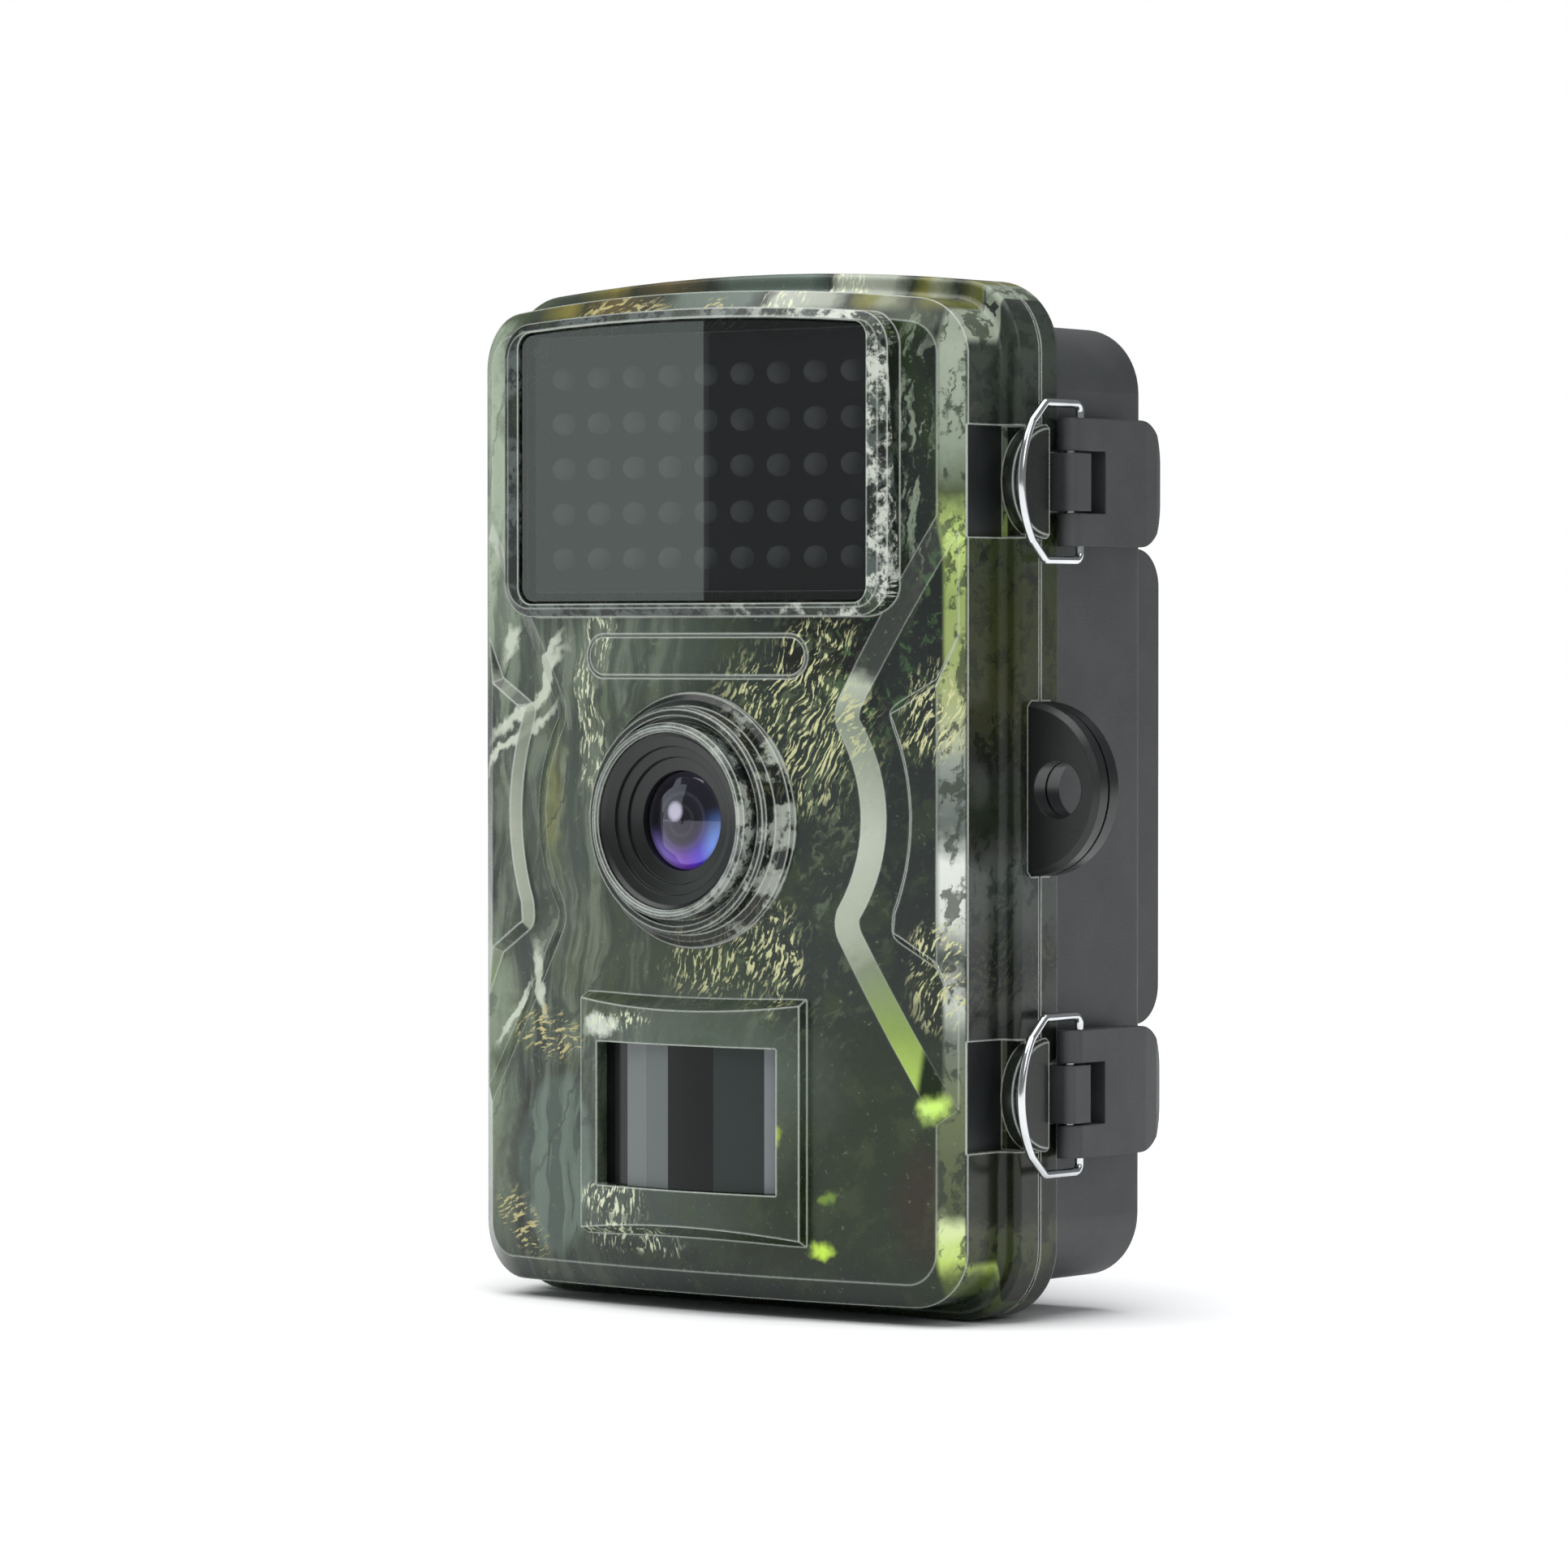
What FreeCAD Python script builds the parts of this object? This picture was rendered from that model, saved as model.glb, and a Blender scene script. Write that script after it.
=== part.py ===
import FreeCAD, Part
import math
import os
import Sketcher
from FreeCAD import Vector

# Trail camera: a two-part weatherproof case that opens on a side hinge like a book.
# Millimetres. X runs to the latch side, Y to the rear, Z up. The origin is on the
# resting plane, in the middle of the case's width, on the parting plane of its halves.

SIZES = {
    # case outline and parting
    "caseHalfWidth": 42.95, "caseTop": 135.2, "archRadius": 340, "caseCorner": 9.5,
    "doorFlangeFront": -4.93, "doorFlangeBack": -0.5, "baseFlangeFront": -0.1, "baseFlangeBack": 4.0,
    # raised front of the door
    "bossHalfWidth": 40.3, "bossBottom": 2.2, "bossTop": 132.5, "bossCorner": 7.5,
    "faceApex": -18.0, "crownRadius": 208, "faceBevelIn": 3.1, "faceBevelBack": 2.0,
    "bossRootRadius": 1.1, "doorWall": 2.6, "channelDepth": 1.4, "channelSlope": 1.55,
    "padSlope": 0.85, "channelLeast": 200,
    # infrared window
    "windowHalfWidth": 29.0, "windowBottom": 92.2, "windowTop": 128.85, "windowCorner": 2.2,
    "windowFront": -18.35, "windowThickness": 1.5, "bezelRim": 3.0, "bezelFront": -18.8,
    "ledPitch": 6.04, "ledRadius": 1.5, "ledRowMiddle": 109.9, "ledBoardFront": -14.6,
    "ledBoardHalfWidth": 26.8, "ledBoardHalfHeight": 16.0, "ledColumns": 9, "ledRows": 5,
    # lens
    "lensHeight": 63.95, "lensFront": -23.6, "lensRimRadius": 12.75, "lensRimInner": 11.5,
    "collarRadius": 14.8, "collarFront": -21.5, "collarBase": 16.5, "collarGroove": 13.6,
    "lensGlassRadius": 6.4, "lensGlassFront": -20.4, "pupilRadius": 2.0,
    # motion sensor
    "hoodHalfWidth": 18.3, "hoodBottom": 11.3, "hoodTop": 39.35, "hoodFront": -20.9,
    "hoodSideFront": -18.8, "hoodSlope": 1.8,
    "pirHalfWidth": 15.0, "pirBottom": 16.0, "pirTop": 34.8, "pirLensFront": -20.0,
    # base (rear) shell and the strap bracket behind it
    "baseBottom": 4.1, "baseTop": 129.7, "baseBack": 22.3, "baseWall": 2.2, "baseEdge": 1.2,
    "baseCorner": 8.6,
    "bracketHalfWidth": 39.0, "bracketBottom": 36.9, "bracketTop": 99.3, "bracketBack": 31.4,
    "bracketEdge": 5.0, "strapHeight": 28.0, "strapDepth": 4.6, "strapHalfWidth": 28.0,
    "slotWidth": 4.6, "treeRadius": 260, "screwX": 35.2, "screwRise": 22.5, "screwHeadDepth": 4.5,
    # hinge
    "hingeX": -44.0, "hingeRadius": 2.2, "hingePinRadius": 1.0, "fitGap": 0.05, "airGap": 0.3,
    "hingeUpper": 99.3, "hingeLower": 31.25, "hingeHalfLength": 12.5, "hingeKnuckle": 6.0,
    # padlock ears
    "earRadius": 11.2, "earX": 42.6, "earHeight": 68.3, "earFront": -2.9, "earBack": 2.5,
    "earHoleX": 47.6, "earHoleRadius": 3.7,
    # draw latches
    "latchUpper": 107.5, "latchLower": 29.2, "latchX": 45.2, "latchY": 2.9, "latchBarrel": 1.5,
    "latchPinRadius": 0.7, "leverHalfHeight": 8.2, "leverOuter": 46.9, "leverInner": 44.5,
    "leverEnd": 22.0, "leverCorner": 5.8, "leverWindow": 8.5, "leverKnuckle": 4.0,
    "knuckleFront": 0.9, "knuckleBack": 5.2, "knuckleOuter": 47.0, "catchRadius": 7.3, "catchOuter": 44.6,
    "bailX": 45.75, "bailY": 4.4, "bailRadius": 0.54, "bailHalfHeight": 10.0, "bailFront": -8.1,
    "bailLegEnd": -3.05, "bailBowEnd": -5.85, "bailBowHeight": 7.5,
    # batteries
    "cellRadius": 7.1, "cellLength": 50.2, "cellPitch": 15.2, "cellY": 11.4, "trayBottom": 14.0,
    "trayHalfWidth": 31.8, "trayHeight": 110.0, "trayFront": 8.0, "trayBack": 19.9,
    # door electronics
    "coverHalfWidth": 37.0, "coverBottom": 6.0, "coverTop": 127.5, "coverFront": -3.2, "coverBack": -1.2,
    "boardHalfWidth": 33.0, "boardBottom": 8.0, "boardTop": 122.0, "boardFront": -9.4,
    "boardThickness": 1.6,
    "screenHalfWidth": 24.0, "screenBottom": 76.0, "screenTop": 112.0,
    "buttonRadius": 3.2, "buttonPitch": 9.5, "padX": 8.0, "padZ": 54.0,
    "tripodY": 12.5, "tripodRadius": 7.0, "tripodThread": 2.55, "tripodDepth": 8.5,
    "jackX": 24.0, "jackRadius": 3.0,
}

doc = FreeCAD.newDocument("TrailCamera")
sheet = doc.addObject("Spreadsheet::Sheet", "Sizes")
for row, (alias, number) in enumerate(SIZES.items(), start=1):
    sheet.set(f"A{row}", alias)
    sheet.set(f"B{row}", str(number))
    sheet.setAlias(f"B{row}", alias)
doc.recompute()

parts = []          # the finished sub-parts, in the order they are made


def size(alias):
    """A driving dimension as a plain number."""
    return float(sheet.get(alias))


def value(expression):
    """What an expression over the sheet gives, as a plain number."""
    result = sheet.evalExpression(str(expression))
    return float(getattr(result, "Value", result))


def finished(thing, label):
    """Gives a sub-part its name and adds it to the model."""
    thing.Label = label
    parts.append(thing)
    return thing


# ---------------------------------------------------------------- parametric helpers

def new_body(name):
    return doc.addObject("PartDesign::Body", name + "_body")


def sketch_on(body, role, offset):
    """A sketch parallel to one of the body's origin planes, moved along its normal."""
    plane = next(item for item in body.Origin.OriginFeatures if item.Role == role)
    sketch = body.newObject("Sketcher::SketchObject", "Sketch")
    sketch.AttachmentSupport = [(plane, "")]
    sketch.MapMode = "FlatFace"
    sketch.setExpression("AttachmentOffset.Base.z", offset)
    doc.recompute()
    return sketch


def bind(sketch, constraint, expression):
    index = sketch.addConstraint(constraint)
    sketch.setExpression(f"Constraints[{index}]", str(expression))


def fix_point(sketch, geometry, vertex, x, y):
    """Holds one point of a sketch at two expressions."""
    bind(sketch, Sketcher.Constraint("DistanceX", -1, 1, geometry, vertex, value(x)), x)
    bind(sketch, Sketcher.Constraint("DistanceY", -1, 1, geometry, vertex, value(y)), y)


def draw_polygon(sketch, points):
    """A closed outline through points that are pairs of expressions."""
    corners = [Vector(value(x), value(y), 0) for x, y in points]
    first = sketch.GeometryCount
    count = len(corners)
    for index, corner in enumerate(corners):
        sketch.addGeometry(Part.LineSegment(corner, corners[(index + 1) % count]))
    for index, (x, y) in enumerate(points):
        following = first + (index + 1) % count
        sketch.addConstraint(Sketcher.Constraint("Coincident", first + index, 2, following, 1))
        fix_point(sketch, first + index, 1, x, y)


def draw_rectangle(sketch, x_low, x_high, y_low, y_high):
    draw_polygon(sketch, [(x_low, y_low), (x_high, y_low), (x_high, y_high), (x_low, y_high)])


def draw_circle(sketch, x, y, radius):
    index = sketch.addGeometry(Part.Circle(Vector(value(x), value(y), 0), Vector(0, 0, 1), value(radius)))
    fix_point(sketch, index, 3, x, y)
    bind(sketch, Sketcher.Constraint("Radius", index, value(radius)), radius)


def pad(body, sketch, length):
    feature = body.newObject("PartDesign::Pad", "Pad")
    feature.Profile = sketch
    feature.setExpression("Length", length)
    doc.recompute()
    return feature


def pocket(body, sketch, length):
    """Cuts the sketch into the body, along the sketch's normal."""
    before = body.Shape.Volume
    feature = body.newObject("PartDesign::Pocket", "Pocket")
    feature.Profile = sketch
    feature.Reversed = True
    feature.setExpression("Length", length)
    doc.recompute()
    if body.Shape.Volume > before - 0.01:
        raise RuntimeError(f"{body.Name}: a pocket cuts nothing")
    return feature


def revolve(body, sketch):
    """Turns the sketch once round its own vertical axis."""
    feature = body.newObject("PartDesign::Revolution", "Revolution")
    feature.Profile = sketch
    feature.ReferenceAxis = (sketch, ["V_Axis"])
    feature.Angle = 360
    doc.recompute()
    return feature


def dress(body, kind, edges, amount):
    """Rounds or bevels edges of the body's last feature."""
    base = body.Tip
    feature = body.newObject("PartDesign::" + kind, kind)
    feature.Base = (base, edges)
    feature.setExpression("Radius" if kind == "Fillet" else "Size", str(amount))
    doc.recompute()
    return feature


def edges_where(shape, test):
    """Names of the edges whose middle point passes a test."""
    names = []
    for index, edge in enumerate(shape.Edges, start=1):
        middle = edge.valueAt((edge.FirstParameter + edge.LastParameter) / 2)
        if test(middle):
            names.append(f"Edge{index}")
    return names


def plate(label, x_low, x_high, z_low, z_high, front, back, cuts=(), corner=0):
    """An upright plate from a padded rectangle, with rectangular or round cut-outs."""
    body = new_body(label)
    sketch = sketch_on(body, "XZ_Plane", f"-({back})")
    draw_rectangle(sketch, x_low, x_high, z_low, z_high)
    pad(body, sketch, f"({back}) - ({front})")
    if corner:
        middle_y = (value(front) + value(back)) / 2
        dress(body, "Fillet", edges_where(body.Shape, lambda p: abs(p.y - middle_y) < 0.01), corner)
    for cut in cuts:
        sketch = sketch_on(body, "XZ_Plane", f"-({back})")
        if len(cut) == 4:
            draw_rectangle(sketch, *cut)
        else:
            draw_circle(sketch, *cut)
        pocket(body, sketch, f"({back}) - ({front}) + 1")
    return finished(body, label)


def turned(label, height, profile):
    """A piece turned about the front-to-back axis at a height, from (radius, y) points."""
    body = new_body(label)
    sketch = sketch_on(body, "XY_Plane", height)
    draw_polygon(sketch, profile)
    revolve(body, sketch)
    return finished(body, label)


# ---------------------------------------------------------------- solids for the mouldings

def arched_block(half_width, bottom, top, corner, front, back):
    """An upright block with an arched top, rounded along its four long edges."""
    radius = size("archRadius")
    side_top = top - radius + math.sqrt(radius ** 2 - half_width ** 2)
    left_low = Vector(-half_width, front, bottom)
    right_low = Vector(half_width, front, bottom)
    right_high = Vector(half_width, front, side_top)
    left_high = Vector(-half_width, front, side_top)
    arch = Part.Arc(right_high, Vector(0, front, top), left_high).toShape()
    lines = [Part.makeLine(left_low, right_low), Part.makeLine(right_low, right_high)]
    wire = Part.Wire(lines + [arch, Part.makeLine(left_high, left_low)])
    block = Part.Face(wire).extrude(Vector(0, back - front, 0))
    if corner:
        upright = [e for e in block.Edges if abs(e.tangentAt(e.FirstParameter).y) > 0.999]
        block = block.makeFillet(corner, upright)
    return block


def box_between(low, high):
    return Part.makeBox(high[0] - low[0], high[1] - low[1], high[2] - low[2], Vector(*low))


def crown_block(apex, back):
    """Everything behind a front that is bowed about a vertical axis, proudest at the middle."""
    radius = size("crownRadius")
    reach = 60.0
    side = apex + radius - math.sqrt(radius ** 2 - reach ** 2)
    left = Vector(-reach, side, -10)
    right = Vector(reach, side, -10)
    arc = Part.Arc(left, Vector(0, apex, -10), right).toShape()
    right_back = Vector(reach, back, -10)
    left_back = Vector(-reach, back, -10)
    lines = [Part.makeLine(right, right_back), Part.makeLine(right_back, left_back),
             Part.makeLine(left_back, left)]
    return Part.Face(Part.Wire([arc] + lines)).extrude(Vector(0, 0, 160))


def crown_y(apex, x):
    """Depth of the bowed front at a distance from the middle."""
    radius = size("crownRadius")
    return apex + radius - math.sqrt(radius ** 2 - x ** 2)


def y_cylinder(x, z, radius, front, back):
    return Part.makeCylinder(radius, back - front, Vector(x, front, z), Vector(0, 1, 0))


def z_cylinder(x, y, radius, low, high):
    return Part.makeCylinder(radius, high - low, Vector(x, y, low))


def rounded(shape, radius, test):
    """Fillets the edges whose middle point passes a test."""
    chosen = [e for e in shape.Edges if test(e.valueAt((e.FirstParameter + e.LastParameter) / 2), e)]
    return shape.makeFillet(radius, chosen)


def mirrored(shape):
    return shape.mirror(Vector(0, 0, 0), Vector(1, 0, 0))


def bevelled(shape, across, back, test):
    """Cuts an unequal bevel: so far across the front face and so far back from it."""
    chosen = [e for e in shape.Edges if test(e.valueAt((e.FirstParameter + e.LastParameter) / 2), e)]
    return shape.makeChamfer(back, across, chosen)


def on_crown(apex):
    """A test for edges that lie on the bowed front."""
    return lambda middle, edge: abs(middle.y - crown_y(apex, middle.x)) < 0.02


def both_latches():
    return (size("latchUpper"), size("latchLower"))


def both_hinges():
    return (size("hingeUpper"), size("hingeLower"))


# ---------------------------------------------------------------- door: the front shell

def channel_wire(y):
    """Section, at one depth, of the long channel on the right of the face, beside the lens.

    Each corner is (x, z, direction): where it lies on the bowed face, and which way its
    sloping wall leans as it goes down into the channel, in degrees from X towards Z.
    """
    upper_run = [(44.0, 112.8, -32), (23.4, 80.4, -32)]
    upper_knee = [(22.6, 78.2, 0), (23.0, 75.8, 33)]
    inner_bow = [(26.4, 64.4, 0), (23.0, 53.0, -33)]
    lower_knee = [(22.6, 50.6, 0), (23.4, 48.4, 32)]
    outside = [(44.0, 16.0, 32), (44.0, 32.9, -153)]
    pad_low = [(37.1, 46.4, -137), (31.9, 49.6, -121)]
    pad_low_knee = [(31.0, 50.9, 180), (31.3, 52.6, 160)]
    pad_bow = [(33.6, 64.4, 180), (31.3, 76.2, 200)]
    pad_high_knee = [(31.0, 77.5, 180), (31.9, 78.6, 121)]
    pad_high = [(37.1, 81.6, 137), (44.0, 94.5, 153)]

    def place(corner):
        x, z, direction = corner
        slope = size("channelSlope") if abs(direction) < 90 else size("padSlope")
        lean = slope * (y - crown_y(size("faceApex"), x))
        angle = math.radians(direction)
        return Vector(x + lean * math.cos(angle), y, z + lean * math.sin(angle))

    pieces = [("line", upper_run), ("arc", upper_knee), ("arc", inner_bow), ("arc", lower_knee),
              ("line", outside), ("line", pad_low), ("arc", pad_low_knee), ("arc", pad_bow),
              ("arc", pad_high_knee), ("line", pad_high)]
    edges = []
    last = None
    for kind, corners in pieces:
        points = [place(corner) for corner in corners]
        if kind == "arc":
            edges.append(Part.Arc(last, points[0], points[1]).toShape())
        else:
            if last is not None:
                edges.append(Part.makeLine(last, points[0]))
            edges.append(Part.makeLine(points[0], points[1]))
        last = points[-1]
    edges.append(Part.makeLine(last, place(upper_run[0])))
    return Part.Wire(edges)


def channel_cut():
    """The space of one channel, down to a floor that follows the bow of the face."""
    shallow = size("faceApex") - 0.5
    floor = size("faceApex") + size("channelDepth")
    deep = crown_y(floor, size("bossHalfWidth")) + 0.1
    walls = Part.makeLoft([channel_wire(shallow), channel_wire(deep)], True, True)
    return walls.cut(crown_block(floor, 60))


def door_blank():
    """The flange and the raised, bowed and bevelled front, with its channels."""
    flange = arched_block(size("caseHalfWidth"), 0, size("caseTop"), size("caseCorner"),
                          size("doorFlangeFront"), size("doorFlangeBack"))
    flange = rounded(flange, 0.9, lambda p, e: abs(p.y - size("doorFlangeFront")) < 0.01)
    root = size("doorFlangeFront") + 1
    boss = arched_block(size("bossHalfWidth"), size("bossBottom"), size("bossTop"),
                        size("bossCorner"), -30, root)
    apex = size("faceApex")
    boss = boss.common(crown_block(apex, root))
    boss = bevelled(boss, size("faceBevelIn"), size("faceBevelBack"), on_crown(apex))
    cut = channel_cut()
    channelled = boss.cut(cut).cut(mirrored(cut))
    if channelled.Volume > boss.Volume - size("channelLeast"):
        raise RuntimeError("The channels do not cut the face.")
    blank = flange.fuse(channelled).removeSplitter()
    fillet_y = size("doorFlangeFront")
    return rounded(blank, size("bossRootRadius"), lambda p, e: abs(p.y - fillet_y) < 0.01
                   and abs(p.x) < size("bossHalfWidth") + 0.05
                   and size("bossBottom") - 0.05 < p.z < size("bossTop") + 0.05)


def bezel_block():
    """The frame round the infrared window, which stands proud of the bowed face."""
    rim = size("bezelRim")
    bezel = arched_block(size("windowHalfWidth") + rim, size("windowBottom") - 1.8,
                         size("windowTop") + 1.4, 4.6, size("bezelFront"), size("faceApex") + 5)
    return bevelled(bezel, 1.1, 0.7, lambda p, e: abs(p.y - size("bezelFront")) < 0.01)


def collar_block():
    """The stepped collar that the lens ring sits in."""
    front = size("collarFront")
    outer = size("collarRadius")
    foot = size("collarBase")
    profile = [(0, -14), (foot, -14), (foot, -18.3), (foot - 0.8, -18.9), (outer, -19.2),
               (outer, front + 0.45), (outer - 0.35, front), (size("collarGroove"), front),
               (size("collarGroove"), front + 1.0), (0, front + 1.0)]
    wire = Part.makePolygon([Vector(r, y, 0) for r, y in profile + profile[:1]])
    collar = Part.Face(wire).revolve(Vector(0, 0, 0), Vector(0, 1, 0), 360)
    collar.translate(Vector(0, 0, size("lensHeight")))
    return collar


def bowed_column(half_width, side, front, back, low, high):
    """An upright column whose front is an arc about a vertical axis."""
    left = Vector(-half_width, side, low)
    right = Vector(half_width, side, low)
    arc = Part.Arc(left, Vector(0, front, low), right).toShape()
    right_back = Vector(half_width, back, low)
    left_back = Vector(-half_width, back, low)
    lines = [Part.makeLine(right, right_back), Part.makeLine(right_back, left_back),
             Part.makeLine(left_back, left)]
    return Part.Face(Part.Wire([arc] + lines)).extrude(Vector(0, 0, high - low))


def hood_block():
    """The convex hood over the motion sensor, its top and bottom sloping back to the face."""
    half = size("hoodHalfWidth")
    front = size("hoodFront")
    back = size("faceApex") + 4
    slope = size("hoodSlope")
    low = size("hoodBottom")
    high = size("hoodTop")
    column = bowed_column(half, size("hoodSideFront"), front, back, low - 2 * slope, high + 2 * slope)
    side = [Vector(-half - 1, front, low), Vector(-half - 1, front, high),
            Vector(-half - 1, front + 3.4, high + slope), Vector(-half - 1, back, high + slope),
            Vector(-half - 1, back, low - slope), Vector(-half - 1, front + 3.4, low - slope)]
    wedge = Part.Face(Part.makePolygon(side + side[:1])).extrude(Vector(2 * half + 2, 0, 0))
    return column.common(wedge)


def ear(front, back, bevel_front):
    """One of the two padlock ears, a half disc that stands out of the case's side."""
    disc = y_cylinder(size("earX"), size("earHeight"), size("earRadius"), front, back)
    edge_y = front if bevel_front else back
    disc = disc.makeChamfer(0.7, [e for e in disc.Edges if abs(e.CenterOfMass.y - edge_y) < 0.01])
    inner = size("caseHalfWidth") - 3
    return disc.common(box_between((inner, front, 0), (inner + 20, back, 200)))


def ear_hole():
    return y_cylinder(size("earHoleX"), size("earHeight"), size("earHoleRadius"), -20, 20)


def latch_catch(height):
    """The half-moon on the door's edge that a latch's bail is drawn over."""
    disc = Part.makeCylinder(size("catchRadius"), size("catchOuter") - size("caseHalfWidth") + 0.7,
                             Vector(size("caseHalfWidth") - 0.7, size("doorFlangeBack"), height),
                             Vector(1, 0, 0))
    rim = [e for e in disc.Edges if abs(e.CenterOfMass.x - size("catchOuter")) < 0.2]
    disc = disc.makeChamfer(0.5, rim)
    return disc.common(box_between((30, -30, 0), (60, size("doorFlangeBack"), 200)))


def latch_pocket(height):
    half = size("catchRadius") - 0.2
    low = (size("bossHalfWidth") - 1.2, size("faceApex") + 5.9, height - half)
    high = (size("caseHalfWidth") + 0.1, size("doorFlangeFront") + 1.5, height + half)
    return box_between(low, high)


def hinge_column(radius, low, high):
    return z_cylinder(size("hingeX"), 0, radius, low, high)


def knuckle(low, high, front, back):
    """A hinge knuckle with the web that joins it to its shell's flange."""
    web = box_between((size("hingeX"), front, low), (-size("caseHalfWidth") + 1.6, back, high))
    return hinge_column(size("hingeRadius"), low, high).fuse(web)


def door_knuckles():
    """Height ranges of the door's knuckles: one at each end of a hinge, and the middle bar."""
    half = size("hingeHalfLength")
    inner = size("hingeKnuckle") + 0.15
    ranges = [(74.5, 84.5)]
    for height in both_hinges():
        ranges.append((height - half, height - inner))
        ranges.append((height + inner, height + half))
    return ranges


def base_knuckles():
    return [(height - size("hingeKnuckle"), height + size("hingeKnuckle")) for height in both_hinges()]


def door_shell():
    shell = door_blank().fuse([bezel_block(), collar_block(), hood_block(),
                               ear(size("earFront"), size("doorFlangeBack"), True)])
    relief = size("hingeRadius") + size("airGap")
    for low, high in base_knuckles():
        shell = shell.cut(hinge_column(relief, low - 0.15, high + 0.15))
    for low, high in door_knuckles():
        shell = shell.fuse(knuckle(low, high, -size("hingeRadius"), size("doorFlangeBack")))
    for height in both_latches():
        shell = shell.cut(latch_pocket(height)).fuse(latch_catch(height))
    wall = size("doorWall")
    hollow = arched_block(size("bossHalfWidth") - 2.2, size("bossBottom") + 2.2, size("bossTop") - 2.2,
                          5.5, -30, 1).common(crown_block(size("faceApex") + wall, 2))
    half = size("windowHalfWidth")
    seat_back = size("windowFront") + size("windowThickness")
    window_seat = arched_block(half + 0.1, size("windowBottom") - 0.1, size("windowTop") + 0.1,
                               size("windowCorner"), -30, seat_back)
    led_opening = box_between((-half + 1.5, -30, size("windowBottom") + 1.5),
                              (half - 1.5, -10, size("windowTop") - 1.7))
    lens_hole = y_cylinder(0, size("lensHeight"), size("lensRimRadius") + size("fitGap"), -30, -10)
    pir_half = size("pirHalfWidth")
    pir_opening = box_between((-pir_half, -30, size("pirBottom")), (pir_half, -10, size("pirTop")))
    pin = size("hingePinRadius") + size("fitGap")
    bores = [hinge_column(pin, height - 20, height + 20) for height in both_hinges()]
    openings = [hollow, window_seat, led_opening, lens_hole, pir_opening, ear_hole()]
    for cut in openings + [name_plate_groove()] + bores:
        shell = shell.cut(cut)
    return shell


def name_plate_groove():
    """A fine groove in the shape of a pill, below the infrared window."""
    def pill(half_width, radius):
        middle = half_width - radius
        ends = [y_cylinder(side * middle, 85.25, radius, -30, 0) for side in (-1, 1)]
        bar = box_between((-middle, -30, 85.25 - radius), (middle, 0, 85.25 + radius))
        return bar.fuse(ends)

    ring = pill(18.4, 2.85).cut(pill(18.05, 2.5))
    return ring.cut(crown_block(size("faceApex") + 0.35, 60))


def solid_feature(label, shape):
    """A sub-part whose shape is worked out above, because it is bowed, arched or swept."""
    feature = doc.addObject("Part::Feature", label + "_shape")
    feature.Shape = shape.removeSplitter() if shape.ShapeType != "Compound" else shape
    feature.Placement = FreeCAD.Placement()
    return finished(feature, label)


# ---------------------------------------------------------------- base: the rear shell

def base_shell():
    flange = arched_block(size("caseHalfWidth"), 0, size("caseTop"), size("caseCorner"),
                          size("baseFlangeFront"), size("baseFlangeBack"))
    back = size("baseBack")
    body = arched_block(size("caseHalfWidth") - 0.15, size("baseBottom"), size("baseTop"),
                        size("baseCorner"), size("baseFlangeFront") + 1, back)
    body = rounded(body, size("baseEdge"), lambda p, e: abs(p.y - back) < 0.01)
    flange = rounded(flange, 0.8, lambda p, e: abs(p.y - size("baseFlangeBack")) < 0.01)
    shell = flange.fuse(body)
    shell = shell.fuse(z_cylinder(0, size("tripodY"), size("tripodRadius"), 0, size("baseBottom") + 3))
    shell = shell.fuse(ear(size("baseFlangeFront"), size("earBack"), False))
    wall = size("baseWall")
    hollow = arched_block(size("caseHalfWidth") - wall - 0.4, size("baseBottom") + wall,
                          size("baseTop") - wall, 6.0, -1, back - wall)
    hollow = rounded(hollow, 3.0, lambda p, e: abs(p.y - (back - wall)) < 0.01)
    shell = shell.cut(hollow)
    boss_top = size("baseBottom") + size("tripodDepth") + 0.6
    shell = shell.fuse(z_cylinder(0, size("tripodY"), size("tripodRadius"), 1, boss_top))
    for x, z in bracket_screw_places():
        shell = shell.fuse(y_cylinder(x, z, 2.9, back - 9, back - 1))
        shell = shell.cut(y_cylinder(x, z, 1.55, back - 8.4, back + 1))
    relief = size("hingeRadius") + size("airGap")
    for low, high in door_knuckles():
        shell = shell.cut(hinge_column(relief, low - 0.15, high + 0.15))
    for low, high in base_knuckles():
        shell = shell.fuse(knuckle(low, high, size("baseFlangeFront"), size("hingeRadius")))
    for height in both_latches():
        shell = shell.fuse(latch_knuckle(height))
    insert = z_cylinder(0, size("tripodY"), 4.5, -1, size("tripodDepth"))
    jack = z_cylinder(size("jackX"), size("tripodY"), 5.3, 0, 10)
    hinge_bore = size("hingePinRadius") + size("fitGap")
    latch_bore = size("latchPinRadius") + size("fitGap")
    bores = [hinge_column(hinge_bore, height - 20, height + 20) for height in both_hinges()]
    for height in both_latches():
        bore = z_cylinder(size("latchX"), size("latchY"), latch_bore, height - 5, height + 5)
        bores.append(bore)
    for cut in [insert, jack, ear_hole()] + bores:
        shell = shell.cut(cut)
    return shell


def latch_knuckle(height):
    """The block on the case's side that a latch's lever turns on."""
    half = size("leverKnuckle") - size("airGap")
    low = (size("caseHalfWidth") - 1, size("knuckleFront"), height - half)
    high = (size("knuckleOuter"), size("knuckleBack"), height + half)
    block = box_between(low, high)
    return rounded(block, 1.2, lambda p, e: p.x > high[0] - 0.01 and p.y < low[1] + 0.01)


def bracket_middle():
    return (size("bracketBottom") + size("bracketTop")) / 2


def bracket_screw_places():
    rise = size("screwRise")
    return [(side * size("screwX"), bracket_middle() + up) for side in (-1, 1) for up in (-rise, rise)]


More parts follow.
